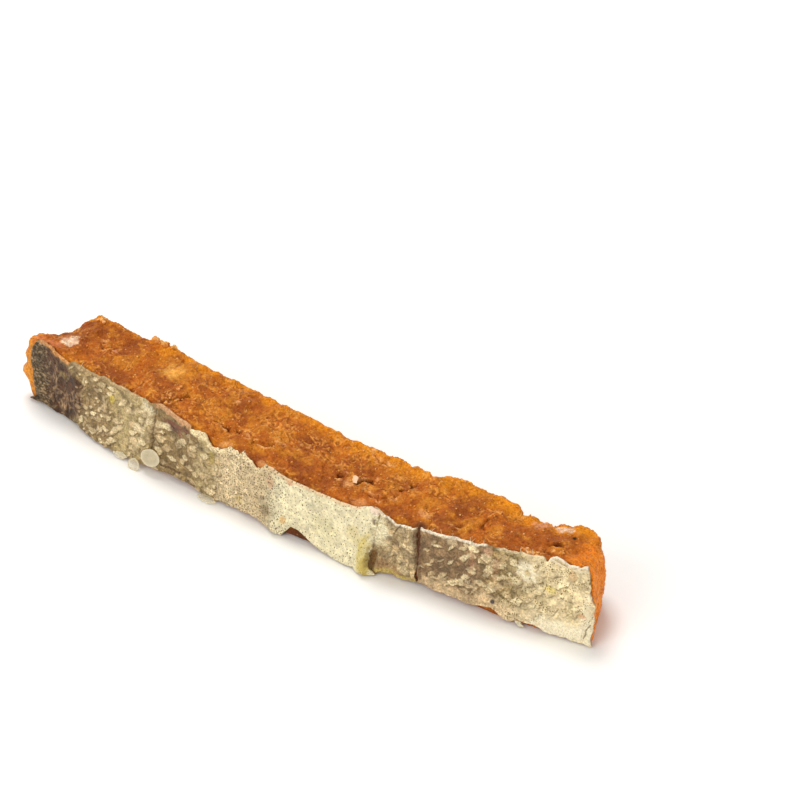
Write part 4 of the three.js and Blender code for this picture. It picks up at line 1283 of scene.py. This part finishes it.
def thin_flake(middle, along, across, dome, ragged, seed, thick=0.12):
    """A closed thin disc between two half axes: rings of points out over its back and in over its front,
    domed as one minus radius squared, with a ragged outline."""
    middle, along, across = (np.array(vector, float) for vector in (middle, along, across))
    normal = unit(np.cross(along, across))
    angle = np.linspace(0, 2 * np.pi, 44, endpoint=False)
    spokes = np.stack([np.cos(angle), np.sin(angle), 0 * angle], axis=-1)
    outline = 1 + ragged * layered_noise(2 * spokes + 5 * seed, 1.0, 3, seed)
    share = np.array((0.25, 0.5, 0.7, 0.85, 0.95, 1.0, 0.95, 0.85, 0.7, 0.5, 0.25))[:, None]
    side = np.repeat((-1, 0, 1), (5, 1, 5))[:, None] * thick / 2
    radius = share * outline
    lift = dome * (1 - radius ** 2) + side + 0.04 * np.sin(14 * radius)
    spread = radius[..., None] * (spokes[:, :1] * along + spokes[:, 1:2] * across)
    rings = middle + spread + lift[..., None] * normal
    poles = middle + normal * (dome - thick / 2), middle + normal * (dome + thick / 2)
    to_rim = np.append(np.repeat(share.ravel(), len(angle)), (0, 0))
    return *tube(rings, *poles), to_rim


def crumb_ball(middle, size, seed):
    """A small uneven ball: rings from its foot to its top, its radius changed by noise."""
    level = np.linspace(-1, 1, 6)[1:-1, None] * np.pi / 2
    angle = np.linspace(0, 2 * np.pi, 8, endpoint=False)
    ball = np.stack(np.broadcast_arrays(np.cos(level) * np.cos(angle), np.cos(level) * np.sin(angle),
                                        np.sin(level)), axis=-1)
    uneven = 1 + 0.45 * layered_noise(ball + 9 * seed, 1.0, 2, seed)
    pole = np.array((0, 0, 0.9 * size))
    return tube(middle + size * uneven[..., None] * ball, middle - pole, middle + pole)


def thread(foot, tip, thick):
    """A thin tube from foot to tip that tapers and bends a little."""
    foot, tip = np.array(foot, float), np.array(tip, float)
    way = unit(tip - foot)
    aside = unit(np.cross(way, (0.3, 0.9, 0.1)))
    share = np.linspace(0, 1, 6)[:, None, None]
    angle = np.linspace(0, 2 * np.pi, 6, endpoint=False)[:, None]
    ring = np.cos(angle) * aside + np.sin(angle) * np.cross(way, aside)
    bend = 0.15 * np.linalg.norm(tip - foot) * np.sin(np.pi * share) * aside
    return tube(foot + share * (tip - foot) + bend + thick * (1 - 0.8 * share) * ring, foot, tip)


def add_joined(name, parts, paints, material, covers=None):
    """One piece of many small shapes, each with its own paint. covers says how much each point covers."""
    points, faces = joined([part[:2] for part in parts])
    tone = np.repeat(np.array(paints), [len(part[0]) for part in parts], axis=0)
    covers = np.ones(len(points)) if covers is None else np.concatenate(covers)
    return add_piece(name, points, faces, material, {"tone": tone}, {"cover": covers})


flake_parts = [thin_flake(*flake[2:], seed=200 + k) for k, flake in enumerate(FLAKES)]
flake_covers = [mix(flake[1], 1.0, part[2] ** 7) for flake, part in zip(FLAKES, flake_parts)]
flake_paints = [flake[0] for flake in FLAKES]
add_joined("loose_flakes", flake_parts, flake_paints, scale_film, flake_covers)

# Crumbs: how many, from x and y, to x and y, least and most radius, seed
CRUMBS = [
    (20, (-46.5, 7.4), (-39.5, 9.4), 0.35, 0.75, 1), (6, (-60.0, 7.0), (-58.0, 8.4), 0.3, 0.6, 2),
    (90, (-60, -6), (-20, 7), 0.08, 0.22, 3), (90, (-20, -9), (22, 5), 0.08, 0.22, 4),
    (90, (22, -8), (62, 5), 0.08, 0.22, 5), (16, (-31, -9.5), (-28.5, -2), 0.15, 0.38, 6),
    (14, (-20, -7.5), (-6, -5.5), 0.12, 0.3, 7), (12, (12, -6.5), (17, -3), 0.15, 0.35, 8),
    (14, (51.8, -7.0), (55.6, -5.6), 0.15, 0.35, 9)]
top_points = rings_out[(facing_up > 0.3) | (on_top > 0.5) & (torn > 0.3)]
crumb_parts = []
for count, low_corner, high_corner, least, most, seed in CRUMBS:
    draws = np.random.default_rng(seed)
    for place in draws.uniform(low_corner, high_corner, (count, 2)):
        size = mix(least, most, draws.random() ** 2)
        rest = top_points[np.argmin(np.linalg.norm(top_points[:, :2] - place, axis=1))]
        crumb_parts.append(crumb_ball(rest + (0, 0, 0.35 * size), size, 300 + len(crumb_parts)))
GOLDEN_RATIO = 0.618
crumb_paints = [mix(GOLD, PEACH, (k * GOLDEN_RATIO) % 1) for k in range(len(crumb_parts))]
add_joined("crumbs", crumb_parts, crumb_paints, dried_mince)

THREAD_RADIUS = 0.07
# Where each thread starts on the skin's rim: x and z
THREAD_FEET = [
    (39.0, 14.2), (39.3, 14.1), (42.8, 14.7), (43.0, 14.8), (34.6, 14.0), (52.6, 16.2), (54.0, 16.4),
    (55.0, 16.5), (-8.2, 14.2), (-50.8, 15.4), (45.4, 15.3), (37.0, 14.2)]
thread_parts = []
for k, (foot_x, foot_z) in enumerate(THREAD_FEET):
    foot = np.array((foot_x, float(face(foot_x, foot_z)) + 0.3, foot_z - 0.2))
    lean = 0.7 * math.sin(5.0 * k)
    thread_parts.append(thread(foot, foot + (lean, 0.3, 1.1), THREAD_RADIUS))
add_joined("threads", thread_parts, [FILM_CREAM] * len(thread_parts), scale_film)

# %% [markdown]
# ## Stage, light and camera
# The strip lies on a white table under soft light, as in a catalogue picture: a large lamp behind and
# above gives the soft shadow on the near side, and a wide one in front keeps the skin bright.

# %% Floor
def make_floor():
    material, _, shader = new_material("table")
    set_inputs(shader, {"Base Color": (0.96, 0.955, 0.945, 1), "Roughness": 0.9, "Specular IOR Level": 0.1})
    half, below = 3.0, -2e-5
    corners = [(-half, -half, below), (half, -half, below), (half, half, below), (-half, half, below)]
    mesh = bpy.data.meshes.new("table")
    mesh.from_pydata(corners, [], [(0, 1, 2, 3)])
    mesh.materials.append(material)
    floor = bpy.data.objects.new("table", mesh)
    bpy.context.scene.collection.objects.link(floor)
    return floor


make_floor()


# %% Lamps and world
def add_lamp(name, azimuth, elevation, distance, size, power):
    """A square lamp that looks at the strip's middle. Azimuth 0 is the skin's side, 90 the right end."""
    lamp = bpy.data.lights.new(name, "AREA")
    lamp.energy = power
    lamp.size = size
    holder = bpy.data.objects.new(name, lamp)
    a, e = math.radians(azimuth), math.radians(elevation)
    away = Vector((math.sin(a) * math.cos(e), -math.cos(a) * math.cos(e), math.sin(e)))
    holder.location = away * distance
    holder.rotation_euler = away.to_track_quat("Z", "Y").to_euler()
    bpy.context.scene.collection.objects.link(holder)


add_lamp("top_lamp", azimuth=236, elevation=73, distance=0.9, size=0.33, power=4.35)
add_lamp("front_lamp", azimuth=352, elevation=34, distance=1.0, size=0.6, power=3.3)

world = bpy.data.worlds.new("studio")
world.use_nodes = True
set_inputs(world.node_tree.nodes["Background"], {"Color": (1.0, 0.96, 0.90, 1), "Strength": 0.58})
bpy.context.scene.world = world
bpy.context.scene.view_settings.view_transform = "Standard"

# %% [markdown]
# ## Camera
# The picture was taken with a long lens from the right end of the skin's side. The camera's distance,
# its angle and where one point of the strip lands in the picture fix it fully.

# %% The camera
AZIMUTH, ELEVATION = 36.0, 35.0
DISTANCE = 600.0  # mm from the lens to the strip
SCALE = 0.191  # mm of the strip for each pixel there
FRAME_PIXELS = 800
SEEN_POINT = np.array((0.0, 0.0, 7.0))  # a point of the strip, and the pixel where it is seen
SEEN_PIXEL = (315.0, 470.0)
SENSOR = 36.0


def make_camera():
    a, e = math.radians(AZIMUTH), math.radians(ELEVATION)
    back = np.array((math.sin(a) * math.cos(e), -math.cos(a) * math.cos(e), math.sin(e)))
    right = np.array((math.cos(a), math.sin(a), 0.0))
    up = np.cross(back, right)
    aside, down = ((pixel - FRAME_PIXELS / 2) * SCALE for pixel in SEEN_PIXEL)
    place = SEEN_POINT + PLACE + back * DISTANCE - right * aside + up * down
    camera = bpy.data.objects.new("camera", bpy.data.cameras.new("camera"))
    camera.data.sensor_width = SENSOR
    camera.data.lens = SENSOR * DISTANCE / SCALE / FRAME_PIXELS
    camera.data.clip_start = 0.01
    axes = Matrix(np.column_stack([right, up, back]).tolist()).to_4x4()
    camera.matrix_world = Matrix.Translation(Vector(place * MM)) @ axes
    bpy.context.scene.collection.objects.link(camera)
    bpy.context.scene.camera = camera
    return camera


camera = make_camera()
print("lens", round(camera.data.lens, 1), "mm, camera at", [round(v, 3) for v in camera.location])
